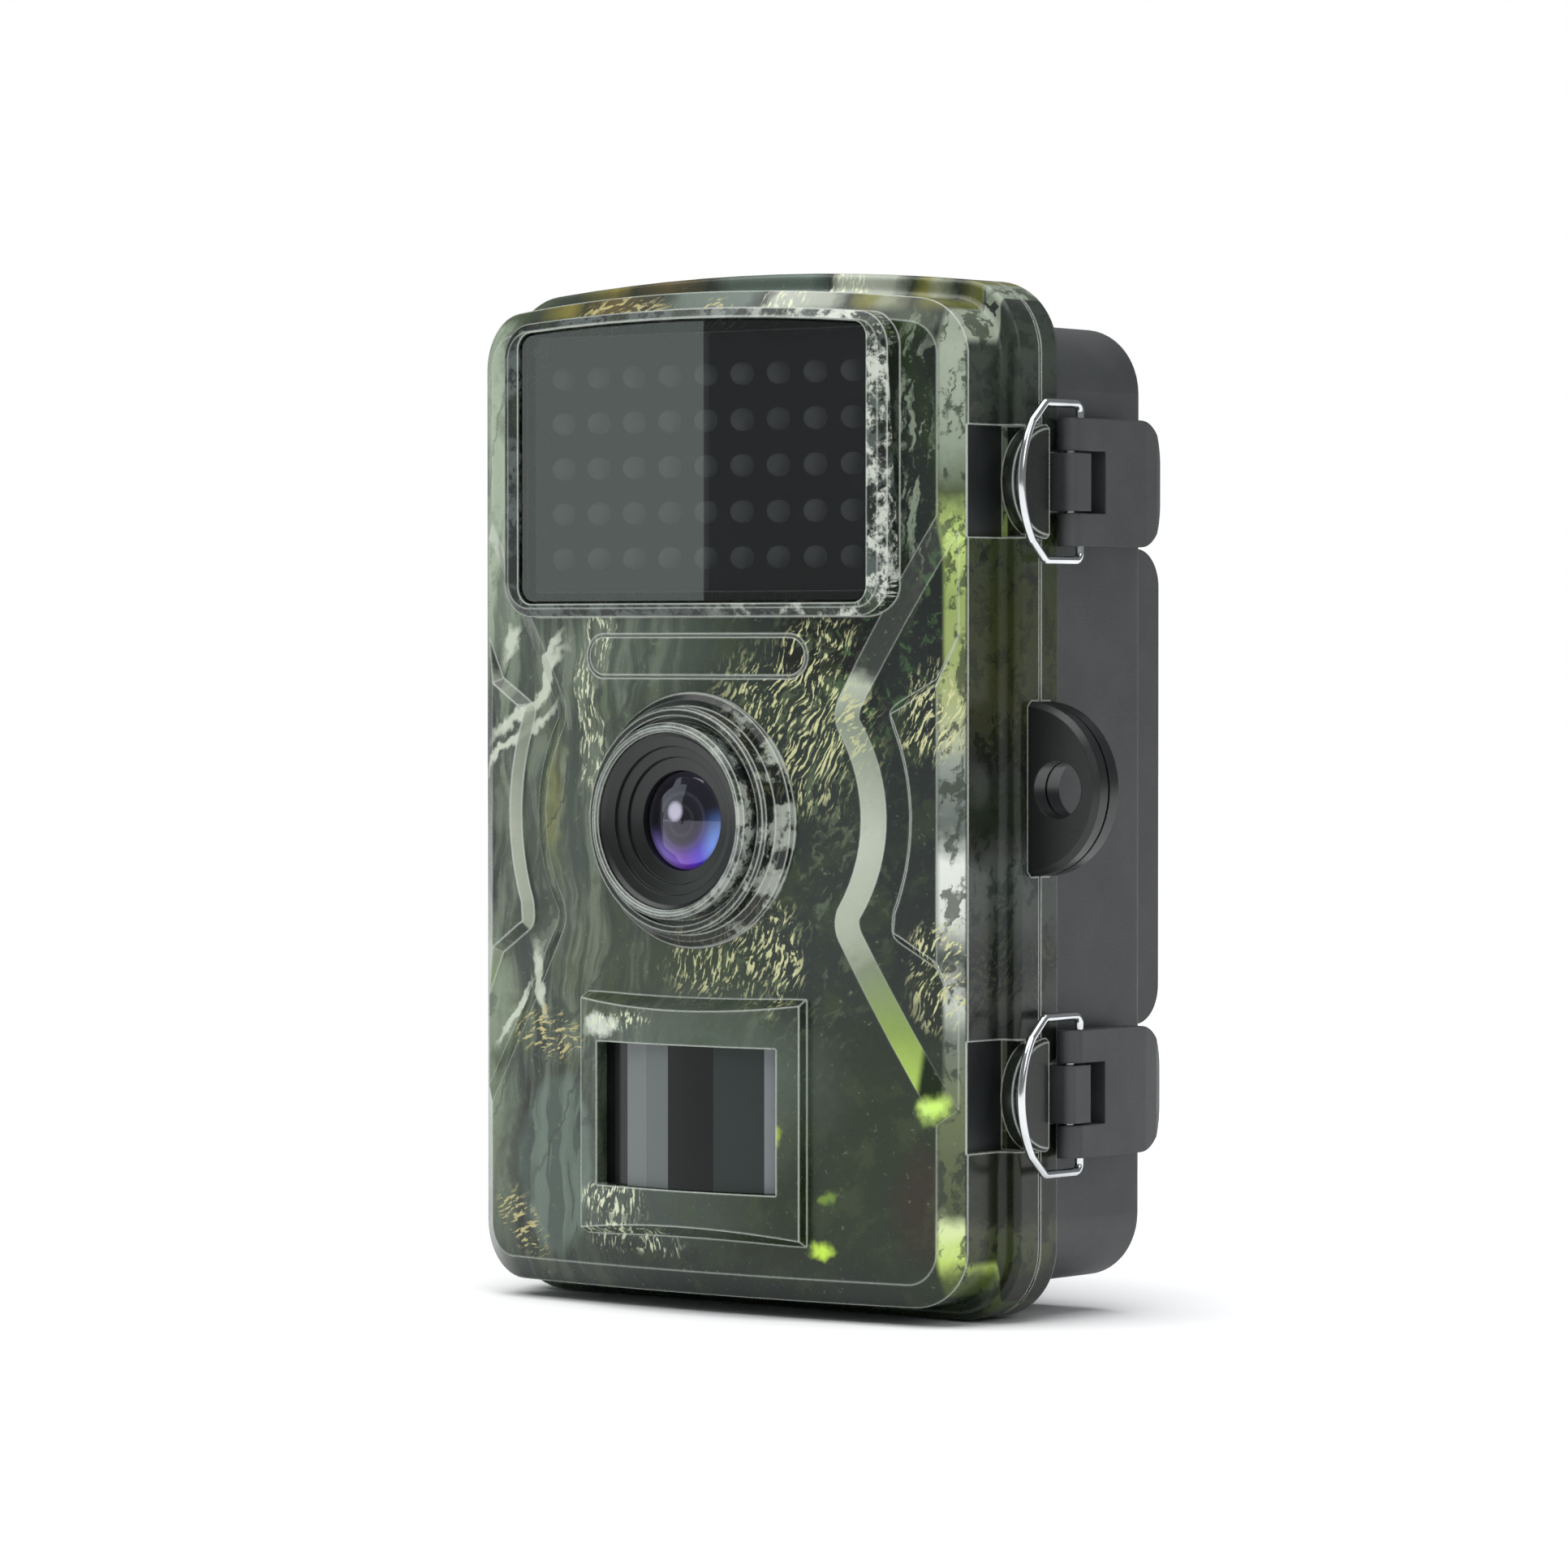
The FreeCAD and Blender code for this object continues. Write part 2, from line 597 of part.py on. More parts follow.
def strap_bracket_shape():
    """The hump behind the base: hollowed for a tree, with a strap's way in and out through two slots."""
    half = size("bracketHalfWidth")
    front = size("baseBack")
    back = size("bracketBack")
    hump = box_between((-half, front, size("bracketBottom")), (half, back, size("bracketTop")))
    hump = rounded(hump, size("bracketEdge"), lambda p, e: abs(p.y - back) < 0.01 and abs(p.x) < 1)
    radius = size("treeRadius")
    tree = z_cylinder(0, back + math.sqrt(radius ** 2 - (half - 3) ** 2), radius, 0, 200)
    hump = hump.cut(tree)
    low = bracket_middle() - size("strapHeight") / 2
    high = bracket_middle() + size("strapHeight") / 2
    reach = size("strapHalfWidth")
    tunnel = box_between((-reach, front - 1, low), (reach, front + size("strapDepth"), high))
    slot = box_between((reach - size("slotWidth"), front, low), (reach, back + 1, high))
    hump = hump.cut(tunnel).cut(slot).cut(mirrored(slot))
    seat = back - size("screwHeadDepth")
    for x, z in bracket_screw_places():
        hump = hump.cut(y_cylinder(x, z, 1.6, front - 1, back + 1))
        hump = hump.cut(y_cylinder(x, z, 2.8, seat, back + 1))
    return hump


def gasket_shape():
    front = size("doorFlangeBack")
    back = size("baseFlangeFront")
    half = size("caseHalfWidth")
    outer = arched_block(half - 0.35, 0.35, size("caseTop") - 0.35, size("caseCorner"), front, back)
    inner = arched_block(half - 2.1, 2.1, size("caseTop") - 2.1, size("caseCorner") - 1.7,
                         front - 1, back + 1)
    ring = outer.cut(inner)
    relief = size("hingeRadius") + size("airGap")
    for height in both_hinges():
        ring = ring.cut(hinge_column(relief, height - 13, height + 13))
    return ring.cut(hinge_column(relief, 74, 85))


def rounded_path(corners, radius):
    """Straight runs through corners, with an arc of one radius in every corner between the ends."""
    edges = []
    start = corners[0]
    for before, corner, after in zip(corners, corners[1:], corners[2:]):
        back = (before - corner).normalize()
        ahead = (after - corner).normalize()
        half_turn = (math.pi - back.getAngle(ahead)) / 2
        leave = corner + back * (radius * math.tan(half_turn))
        rejoin = corner + ahead * (radius * math.tan(half_turn))
        inward = (back + ahead).normalize()
        middle = corner + inward * (radius / math.cos(half_turn) - radius)
        edges += [Part.makeLine(start, leave), Part.Arc(leave, middle, rejoin).toShape()]
        start = rejoin
    return edges + [Part.makeLine(start, corners[-1])]


def bail_shape(height):
    """The bent wire of a latch, from one end's hook round the bow to the other's."""
    x = size("bailX")
    y = size("bailY")
    half = size("bailHalfHeight")
    outline = [(y, size("leverHalfHeight") - 1.6), (y, half), (size("bailLegEnd"), half),
               (size("bailBowEnd"), size("bailBowHeight"))]
    upper = [Vector(x, at, height + rise) for at, rise in outline]
    lower = [Vector(x, at, height - rise) for at, rise in reversed(outline)]
    bow = Part.Arc(upper[-1], Vector(x, size("bailFront"), height), lower[0]).toShape()
    path = Part.Wire(rounded_path(upper, 1.0) + [bow] + rounded_path(lower, 1.0))
    section = Part.Wire([Part.makeCircle(size("bailRadius"), upper[0], Vector(0, 0, 1))])
    return path.makePipeShell([section], True, True, 2)


def pir_lens_shape():
    half = size("pirHalfWidth") - size("fitGap")
    low = size("pirBottom") + size("fitGap")
    high = size("pirTop") - size("fitGap")
    front = size("pirLensFront")
    side = size("faceApex") + 0.6
    outer = bowed_column(half, side, front, side + 2.4, low, high)
    return outer.cut(bowed_column(half - 1.2, side + 1.2, front + 1.0, side + 3, low - 1, high + 1))


solid_feature("front_shell", door_shell())
solid_feature("rear_shell", base_shell())
solid_feature("strap_bracket", strap_bracket_shape())
solid_feature("door_gasket", gasket_shape())
solid_feature("pir_lens", pir_lens_shape())
window = arched_block(size("windowHalfWidth"), size("windowBottom"), size("windowTop"),
                      size("windowCorner"), size("windowFront"),
                      size("windowFront") + size("windowThickness"))
window = bevelled(window, 0.25, 0.25, lambda p, e: abs(p.y - size("windowFront")) < 0.01)
solid_feature("led_window", window)
for place, height in zip(("upper", "lower"), both_latches()):
    solid_feature("latch_bail_" + place, bail_shape(height))


def group(label, members):
    """Several equal pieces that share one node."""
    compound = doc.addObject("Part::Compound", label + "_group")
    compound.Links = members
    return finished(compound, label)


def cylinder(radius, length, x, y, z, tilt=0):
    """A Part cylinder, upright or (tilt -90 about X) pointing to the rear, bound to the sheet."""
    item = doc.addObject("Part::Cylinder", "Cylinder")
    item.Placement = FreeCAD.Placement(Vector(0, 0, 0), FreeCAD.Rotation(Vector(1, 0, 0), tilt))
    for key, expression in (("Radius", radius), ("Height", length), ("Placement.Base.x", x),
                            ("Placement.Base.y", y), ("Placement.Base.z", z)):
        item.setExpression(key, str(expression))
    return item


def block(x_low, x_high, y_low, y_high, z_low, z_high):
    """A Part box between two corners given as expressions."""
    item = doc.addObject("Part::Box", "Box")
    for key, expression in (("Length", f"({x_high}) - ({x_low})"), ("Width", f"({y_high}) - ({y_low})"),
                            ("Height", f"({z_high}) - ({z_low})"), ("Placement.Base.x", x_low),
                            ("Placement.Base.y", y_low), ("Placement.Base.z", z_low)):
        item.setExpression(key, str(expression))
    return item


def fused(members):
    item = doc.addObject("Part::MultiFuse", "Fusion")
    item.Shapes = members
    return item


# ---------------------------------------------------------------- lens and sensors

def lens_pieces():
    hole = "Sizes.lensRimRadius"
    inner = "Sizes.lensRimInner"
    front = "Sizes.lensFront"
    turned("lens_ring", "Sizes.lensHeight", [
        (inner, f"{front} + 0.3"), (f"{inner} + 0.35", front), (f"{hole} - 0.5", front),
        (hole, f"{front} + 0.5"), (hole, "-15.6"), (inner, "-15.6")])
    turned("lens_barrel", "Sizes.lensHeight", [
        ("Sizes.lensGlassRadius + 0.1", "-20.1"), ("8.2", "-20.6"), ("8.3", "-21.2"), ("9.6", "-21.5"),
        ("9.7", "-22.1"), (f"{inner} - 0.6", "-22.5"), (f"{inner} - 0.05", "-23.0"),
        (f"{inner} - 0.05", "-15.0"), ("Sizes.lensGlassRadius + 0.1", "-15.0")])
    dome = "Sizes.lensGlassFront"
    turned("lens_front_element", "Sizes.lensHeight", [
        ("0", dome), ("1.6", f"{dome} + 0.07"), ("3.2", f"{dome} + 0.3"), ("4.7", f"{dome} + 0.68"),
        ("5.7", f"{dome} + 1.05"), ("Sizes.lensGlassRadius", f"{dome} + 1.4"),
        ("Sizes.lensGlassRadius", f"{dome} + 2.6"), ("0", f"{dome} + 2.6")])
    turned("lens_iris", "Sizes.lensHeight", [
        ("Sizes.pupilRadius", "-16.4"), ("4.4", "-16.9"), ("4.6", "-17.4"),
        ("Sizes.lensGlassRadius", "-17.7"),
        ("Sizes.lensGlassRadius", "-15.0"), ("Sizes.pupilRadius", "-15.0")])
    turned("lens_rear_element", "Sizes.lensHeight", [
        ("0", "-14.9"), ("3.4", "-14.6"), ("3.4", "-13.1"), ("0", "-12.9")])
    plate("lens_mount", "-9", "9", "Sizes.lensHeight - 9", "Sizes.lensHeight + 9", "-14.95", "-10.2",
          cuts=[("0", "Sizes.lensHeight", "3.5")], corner="1.5")
    plate("image_sensor", "-4", "4", "Sizes.lensHeight - 3.5", "Sizes.lensHeight + 3.5", "-10.15",
          "Sizes.boardFront")
    turned("pir_sensor", "(Sizes.pirBottom + Sizes.pirTop) / 2", [
        ("0", "-13.4"), ("4.1", "-13.4"), ("4.3", "-13.2"), ("4.3", "-9.9"), ("4.7", "-9.8"),
        ("4.7", "Sizes.boardFront"), ("0", "Sizes.boardFront")])


def led_pieces():
    low = "Sizes.ledRowMiddle - Sizes.ledBoardHalfHeight"
    high = "Sizes.ledRowMiddle + Sizes.ledBoardHalfHeight"
    plate("led_board", "-Sizes.ledBoardHalfWidth", "Sizes.ledBoardHalfWidth", low, high,
          "Sizes.ledBoardFront", "Sizes.ledBoardFront + 1.4", corner="1")
    lamps = []
    columns = int(size("ledColumns"))
    rows = int(size("ledRows"))
    for column in range(columns):
        for row in range(rows):
            x = f"({column} - {(columns - 1) / 2}) * Sizes.ledPitch"
            z = f"Sizes.ledRowMiddle + ({row} - {(rows - 1) / 2}) * Sizes.ledPitch * 0.985"
            lamps.append(lamp(x, z))
    group("ir_leds", lamps)


def lamp(x, z):
    """One infrared lamp: a short round body with a domed front."""
    dome = doc.addObject("Part::Sphere", "Dome")
    dome.Angle1 = 0
    front = "Sizes.ledBoardFront - 0.7"
    dome.Placement = FreeCAD.Placement(Vector(0, 0, 0), FreeCAD.Rotation(Vector(1, 0, 0), 90))
    for key, expression in (("Radius", "Sizes.ledRadius - 0.02"), ("Placement.Base.x", x),
                            ("Placement.Base.y", front), ("Placement.Base.z", z)):
        dome.setExpression(key, expression)
    body = cylinder("Sizes.ledRadius", "0.7", x, front, z, tilt=-90)
    return fused([dome, body])


# ---------------------------------------------------------------- inside of the door

BUTTONS = {
    "button_up": (0, 1), "button_down": (0, -1), "button_left": (-1, 0), "button_right": (1, 0),
    "button_ok": (0, 0), "button_menu": (-2.5, 0.5), "button_shot": (-2.5, -0.5),
}


def button_place(name):
    column, row = BUTTONS[name]
    return f"Sizes.padX + {column} * Sizes.buttonPitch", f"Sizes.padZ + {row} * Sizes.buttonPitch"


def door_inside():
    plate("main_board", "-Sizes.boardHalfWidth", "Sizes.boardHalfWidth",
          "Sizes.boardBottom", "Sizes.boardTop",
          "Sizes.boardFront", "Sizes.boardFront + Sizes.boardThickness", corner="2")
    openings = [("-21", "21", "Sizes.screenBottom + 3", "Sizes.screenTop - 3"),
                ("-20.5", "-9.5", "33.9", "38.1"), ("-16", "27", "9.5", "24")]
    openings += [button_place(name) + ("Sizes.buttonRadius + 0.15",) for name in BUTTONS]
    plate("inner_cover", "-Sizes.coverHalfWidth", "Sizes.coverHalfWidth",
          "Sizes.coverBottom", "Sizes.coverTop", "Sizes.coverFront", "Sizes.coverBack",
          cuts=openings, corner="5.6")
    plate("lcd_panel", "-Sizes.screenHalfWidth", "Sizes.screenHalfWidth",
          "Sizes.screenBottom", "Sizes.screenTop", "Sizes.coverFront - 2.2",
          "Sizes.coverFront - 0.02", corner="0.6")
    plate("lcd_window", "-20.9", "20.9", "Sizes.screenBottom + 3.1", "Sizes.screenTop - 3.1",
          "Sizes.coverFront", "Sizes.coverBack - 0.4", corner="0.3")
    for name in BUTTONS:
        x, z = button_place(name)
        button(name, x, z)
    plate("switch_body", "-21", "-9", "33", "39", "-7.78", "-5.1")
    power_switch()
    slot = plate("card_slot", "10.2", "24.2", "24.4", "37.4", "-7.78", "-5.4")
    well = sketch_on(slot, "XY_Plane", "24.4")
    draw_rectangle(well, "11.5", "22.9", "-7.0", "-6.0")
    pocket(slot, well, "12.6")
    plate("memory_card", "11.6", "22.8", "20.6", "35.6", "-6.9", "-6.1", corner="0.38")
    port = plate("usb_port", "-12.5", "-4.5", "24.2", "31.2", "-7.78", "-4.7")
    mouth = sketch_on(port, "XY_Plane", "24.2")
    draw_rectangle(mouth, "-11.9", "-5.1", "-7.2", "-5.3")
    pocket(port, mouth, "5.5")
    domes = [cylinder("2.4", "1.6", *dome_place(name), tilt=-90) for name in BUTTONS]
    group("key_domes", domes)


def dome_place(name):
    x, z = button_place(name)
    return x, "-7.78", z


def button(name, x, z):
    """A push button: a cap through the cover, on a wider foot that keeps it in."""
    body = new_body(name)
    foot = sketch_on(body, "XZ_Plane", "-(Sizes.coverFront - 0.4)")
    draw_circle(foot, x, z, "Sizes.buttonRadius + 0.7")
    pad(body, foot, "1.2")
    cap = sketch_on(body, "XZ_Plane", "-(Sizes.coverBack + 0.8)")
    draw_circle(cap, x, z, "Sizes.buttonRadius")
    pad(body, cap, "Sizes.coverBack - Sizes.coverFront + 1.4")
    tip = value("Sizes.coverBack + 0.8")
    dress(body, "Fillet", edges_where(body.Shape, lambda p: abs(p.y - tip) < 0.01), "0.4")
    return finished(body, name)


def power_switch():
    """The knob that slides in its slot, on a foot behind the cover."""
    body = new_body("power_switch")
    foot = sketch_on(body, "XZ_Plane", "-(Sizes.coverFront - 0.3)")
    draw_rectangle(foot, "-20.4", "-15.6", "33.2", "38.8")
    pad(body, foot, "1.2")
    knob = sketch_on(body, "XZ_Plane", "-(Sizes.coverBack + 0.9)")
    draw_rectangle(knob, "-20.0", "-16.4", "34.1", "37.9")
    pad(body, knob, "Sizes.coverBack - Sizes.coverFront + 1.6")
    return finished(body, "power_switch")


# ---------------------------------------------------------------- inside of the base

def battery_pieces():
    half = "Sizes.trayHalfWidth"
    low = "Sizes.trayBottom"
    middle = "(Sizes.trayBottom + Sizes.trayHeight / 2)"
    high = "(Sizes.trayBottom + Sizes.trayHeight)"
    body = new_body("battery_tray")
    outline = sketch_on(body, "XZ_Plane", "-Sizes.trayBack")
    draw_rectangle(outline, f"-{half}", half, low, high)
    pad(body, outline, "Sizes.trayBack - Sizes.trayFront")
    bays = sketch_on(body, "XZ_Plane", "-(Sizes.cellY + Sizes.cellRadius + 0.1)")
    draw_rectangle(bays, f"-{half} + 1", f"{half} - 1", f"{low} + 1.2", f"{middle} - 0.6")
    draw_rectangle(bays, f"-{half} + 1", f"{half} - 1", f"{middle} + 0.6", f"{high} - 1.2")
    pocket(body, bays, "20")
    finished(body, "battery_tray")
    cells = []
    springs = []
    contacts = []
    for start in (f"{low} + 1.2", f"{middle} + 0.6"):
        for column in range(4):
            x = f"({column} - 1.5) * Sizes.cellPitch"
            up = column % 2 == 0
            can_start = f"{start} + {2.6 if up else 1.6}"
            nub_start = f"{start} + {2.6 if up else 0.6} + {'Sizes.cellLength - 1.2' if up else '0'}"
            can = cylinder("Sizes.cellRadius", "Sizes.cellLength - 1.2", x, "Sizes.cellY", can_start)
            nub = cylinder("2.6", "1.2", x, "Sizes.cellY", nub_start)
            cells.append(fused([can, nub]))
            spring_start = f"{start} + {0.4 if up else 1.6 + size('cellLength') - 1.2}"
            springs.append(coil_spring(x, spring_start))
            contacts.append(block(f"{x} - 4.5", f"{x} + 4.5", "Sizes.cellY - 4", "Sizes.cellY + 5.5",
                                  f"{start} + 0.02", f"{start} + 0.38"))
            contacts.append(block(f"{x} - 4.5", f"{x} + 4.5", "Sizes.cellY - 4", "Sizes.cellY + 5.5",
                                  f"{start} + 53.2 - 0.38", f"{start} + 53.2 - 0.02"))
    group("battery_cells", cells)
    group("battery_springs", springs)
    group("battery_contacts", contacts)


def coil_spring(x, low):
    """One battery spring, as the closed cone frustum that its turns fill."""
    cone = doc.addObject("Part::Cone", "Spring")
    for key, expression in (("Radius1", "3.6"), ("Radius2", "2.6"), ("Height", "2.1"),
                            ("Placement.Base.x", x), ("Placement.Base.y", "Sizes.cellY"),
                            ("Placement.Base.z", low)):
        cone.setExpression(key, expression)
    return cone


# ---------------------------------------------------------------- latches, pins and fasteners

def lever(name, height):
    """A latch's lever: barrels on the pin and a round-ended thumb plate that lies along the case."""
    z = f"({height})"
    half = "Sizes.leverHalfHeight"
    x = "Sizes.latchX"
    y = "Sizes.latchY"
    body = new_body(name)
    thumb = sketch_on(body, "XY_Plane", f"{z} - {half}")
    draw_polygon(thumb, [
        ("Sizes.leverInner", y), (x, f"{y} - Sizes.latchBarrel + 0.3"), (f"{x} + 1.0", f"{y} - 1.0"),
        ("Sizes.leverOuter", f"{y} + 0.6"), ("Sizes.leverOuter", "Sizes.leverEnd - 4.5"),
        ("Sizes.leverOuter - 0.35", "Sizes.leverEnd - 1.6"), ("Sizes.leverOuter - 1.0", "Sizes.leverEnd"),
        ("Sizes.leverInner", "Sizes.leverEnd")])
    pad(body, thumb, f"2 * {half}")
    barrel = sketch_on(body, "XY_Plane", f"{z} - {half}")
    draw_circle(barrel, x, y, "Sizes.latchBarrel")
    pad(body, barrel, f"2 * {half}")
    end = value("Sizes.leverEnd")
    ends = [n for n in edge_names_along_x(body.Shape) if edge_middle(body.Shape, n).y > end - 0.5]
    dress(body, "Fillet", ends, "Sizes.leverCorner")
    window_cut = sketch_on(body, "XY_Plane", f"{z} - Sizes.leverKnuckle")
    draw_rectangle(window_cut, "Sizes.leverInner - 3", "Sizes.leverOuter + 1", "-2", "Sizes.leverWindow")
    pocket(body, window_cut, "2 * Sizes.leverKnuckle")
    bore = sketch_on(body, "XY_Plane", f"{z} - {half} - 1")
    draw_circle(bore, x, y, "Sizes.latchPinRadius + Sizes.fitGap")
    pocket(body, bore, f"2 * {half} + 2")
    for low in (f"{z} - {half} - 1", f"{z} + {half} - 1.8"):
        hook = sketch_on(body, "XY_Plane", low)
        draw_circle(hook, "Sizes.bailX", "Sizes.bailY", "Sizes.bailRadius + Sizes.fitGap")
        pocket(body, hook, "2.8")
    return finished(body, name)


def edge_named(shape, name):
    return shape.Edges[int(name[4:]) - 1]


def edge_middle(shape, name):
    edge = edge_named(shape, name)
    return edge.valueAt((edge.FirstParameter + edge.LastParameter) / 2)


def edge_names_along_x(shape):
    """The straight edges that run across, from the inside of a piece to its outside."""
    names = edges_where(shape, lambda p: True)
    return [n for n in names if edge_named(shape, n).Curve.TypeId == "Part::GeomLine"
            and abs(edge_named(shape, n).tangentAt(0).x) > 0.99]


def screw(x, y, z):
    """A bracket screw: a flat round head, and a shank that runs forward from it."""
    head = cylinder("2.6", "1.8", x, y, z, tilt=-90)
    shank = cylinder("1.45", "12", x, f"{y} - 12", z, tilt=-90)
    return fused([head, shank])


def fastener_pieces():
    pins = [cylinder("Sizes.hingePinRadius", "2 * Sizes.hingeHalfLength - 0.6",
                     "Sizes.hingeX", "0", f"Sizes.{height} - Sizes.hingeHalfLength + 0.3")
            for height in ("hingeUpper", "hingeLower")]
    group("hinge_pins", pins)
    rods = [cylinder("Sizes.latchPinRadius", "2 * Sizes.leverHalfHeight - 0.4",
                     "Sizes.latchX", "Sizes.latchY", f"Sizes.{height} - Sizes.leverHalfHeight + 0.2")
            for height in ("latchUpper", "latchLower")]
    group("latch_pins", rods)
    screws = []
    for x, z in bracket_screw_places():
        screws.append(screw(x, "Sizes.bracketBack - Sizes.screwHeadDepth", z))
    group("bracket_screws", screws)


def tripod_and_jack():
    insert = new_body("tripod_insert")
    outline = sketch_on(insert, "XY_Plane", "0")
    draw_circle(outline, "0", "Sizes.tripodY", "4.45")
    pad(insert, outline, "Sizes.tripodDepth - 0.02")
    thread = sketch_on(insert, "XY_Plane", "0")
    draw_circle(thread, "0", "Sizes.tripodY", "Sizes.tripodThread")
    pocket(insert, thread, "Sizes.tripodDepth - 1")
    finished(insert, "tripod_insert")
    jack = new_body("dc_jack")
    shell = sketch_on(jack, "XY_Plane", "Sizes.baseBottom")
    draw_circle(shell, "Sizes.jackX", "Sizes.tripodY", "5.25")
    pad(jack, shell, "9")
    mouth = sketch_on(jack, "XY_Plane", "Sizes.baseBottom")
    draw_circle(mouth, "Sizes.jackX", "Sizes.tripodY", "Sizes.jackRadius")
    pocket(jack, mouth, "7.5")
    finished(jack, "dc_jack")
    cover = new_body("jack_cover")
    disc = sketch_on(cover, "XY_Plane", "Sizes.baseBottom - 1.6")
    draw_circle(disc, "Sizes.jackX", "Sizes.tripodY", "6.2")
    pad(cover, disc, "1.55")
    plug = sketch_on(cover, "XY_Plane", "Sizes.baseBottom - 1")
    draw_circle(plug, "Sizes.jackX", "Sizes.tripodY", "Sizes.jackRadius - Sizes.fitGap")
    pad(cover, plug, "6")
    low = value("Sizes.baseBottom - 1.6")
    dress(cover, "Fillet", edges_where(cover.Shape, lambda p: abs(p.z - low) < 0.01), "0.6")
    finished(cover, "jack_cover")


lens_pieces()
led_pieces()
door_inside()
battery_pieces()
for place in ("Upper", "Lower"):
    lever("latch_lever_" + place.lower(), "Sizes.latch" + place)
fastener_pieces()
tripod_and_jack()
doc.recompute()


def check_and_write():
    """Stops on anything that failed, then writes one STEP file per sub-part."""
    for item in doc.Objects:
        if "Invalid" in item.State or "Error" in item.State:
            raise RuntimeError(f"{item.Label} failed: {item.State}")
    os.makedirs("parts", exist_ok=True)
    for thing in parts:
        shape = thing.Shape
        if shape.isNull() or not shape.isValid() or not shape.Solids:
            raise RuntimeError(f"{thing.Label} has no valid solid")
        shape.exportStep(os.path.join("parts", thing.Label + ".step"))
        print(f"{thing.Label}: {len(shape.Solids)} solids, {shape.Volume:.1f} mm3")


check_and_write()
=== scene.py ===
import math

import bpy
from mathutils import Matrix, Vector

# Looks of the trail camera. Metres, in the frame of the CAD model: X to the latch side,
# Y to the rear, Z up. The lens looks along -Y.

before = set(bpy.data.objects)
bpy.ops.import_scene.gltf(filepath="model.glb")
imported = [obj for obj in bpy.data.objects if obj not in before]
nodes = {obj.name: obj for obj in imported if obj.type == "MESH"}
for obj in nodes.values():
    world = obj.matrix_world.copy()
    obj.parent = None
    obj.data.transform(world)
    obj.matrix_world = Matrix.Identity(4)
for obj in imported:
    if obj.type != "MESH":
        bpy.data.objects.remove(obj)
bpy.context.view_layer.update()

MM = 0.001

# Heights and reaches on the case, in millimetres, that the finishes follow.
LENS_HEIGHT = 63.95
LENS_GLASS_RADIUS = 6.4
EAR_HEIGHT = 68.3
EAR_START = 43.0
CATCH_START = 43.1
WINDOW_HEIGHT = 110.4
SCREEN_HEIGHT = 94.0
TOP_EDGE = 128.6
SLOPE_START = 36.9
WALL_START = 39.9


# ---------------------------------------------------------------- camera, floor and light

VIEW_TURN = math.radians(38.5)      # the camera stands this far round towards the latch side
VIEW_TILT = math.radians(1.16)      # and looks down by this much
EYE = Vector((0.5484, -0.6883, 0.0862))


def add_camera():
    data = bpy.data.cameras.new("camera")
    data.lens = 153.3
    data.sensor_width = 36
    data.clip_end = 20
    camera = bpy.data.objects.new("camera", data)
    camera.location = EYE
    camera.rotation_euler = (math.pi / 2 - VIEW_TILT, 0, VIEW_TURN)
    bpy.context.scene.collection.objects.link(camera)
    bpy.context.scene.camera = camera


def add_light(name, kind, place, target, power, colour=(1, 1, 1)):
    data = bpy.data.lights.new(name, kind)
    data.energy = power
    data.color = colour
    light = bpy.data.objects.new(name, data)
    light.location = place
    direction = Vector(target) - Vector(place)
    light.rotation_euler = direction.to_track_quat("-Z", "Y").to_euler()
    bpy.context.scene.collection.objects.link(light)
    return data


def add_area(name, place, target, width, height, power, colour=(1, 1, 1)):
    data = add_light(name, "AREA", place, target, power, colour)
    data.shape = "RECTANGLE"
    data.size = width
    data.size_y = height


def add_lights():
    middle = (0, 0, 0.07)
    add_area("front_left", (-1.439, -1.074, 0.5), (-0.807, -0.299, 0.5), 0.9, 1.0, 3, (0.85, 1, 0.93))
    add_area("right", (1.6, -0.5, 0.9), middle, 1.0, 1.0, 6)
    add_area("top", (0, 0.2, 1.5), middle, 1.5, 1.2, 6)
    add_light("sun", "SUN", (-0.15, -0.45, 2.0), (0, 0, 0), 3.0).angle = math.radians(75)


def add_world():
    world = bpy.data.worlds.new("studio")
    world.use_nodes = True
    tree = world.node_tree
    tree.nodes.clear()
    output = tree.nodes.new("ShaderNodeOutputWorld")
    path = tree.nodes.new("ShaderNodeLightPath")
    seen = tree.nodes.new("ShaderNodeBackground")
    seen.inputs["Color"].default_value = (1, 1, 1, 1)
    seen.inputs["Strength"].default_value = 1.0
    ambient = tree.nodes.new("ShaderNodeBackground")
    ambient.inputs["Color"].default_value = (0.93, 0.97, 1.0, 1)
    ambient.inputs["Strength"].default_value = 0.24
    mix = tree.nodes.new("ShaderNodeMixShader")
    tree.links.new(path.outputs["Is Camera Ray"], mix.inputs[0])
    tree.links.new(ambient.outputs[0], mix.inputs[1])
    tree.links.new(seen.outputs[0], mix.inputs[2])
    tree.links.new(mix.outputs[0], output.inputs[0])
    bpy.context.scene.world = world


def add_floor():
    half = 3.0
    mesh = bpy.data.meshes.new("floor")
    corners = [(-half, -half, 0), (half, -half, 0), (half, half, 0), (-half, half, 0)]
    mesh.from_pydata(corners, [], [(0, 1, 2, 3)])
    floor = bpy.data.objects.new("floor", mesh)
    floor.location.z = -0.0002
    bpy.context.scene.collection.objects.link(floor)
    shader = Shader("floor")
    shader.set("Base Color", shader.ramp(shader.noise(0.003), [
        (0.0, (0.93, 0.933, 0.936)), (1.0, (0.96, 0.963, 0.966))]))
    shader.set("Roughness", 0.9)
    shader.set("Specular IOR Level", 0.0)
    floor.data.materials.append(shader.material)


# ---------------------------------------------------------------- building materials

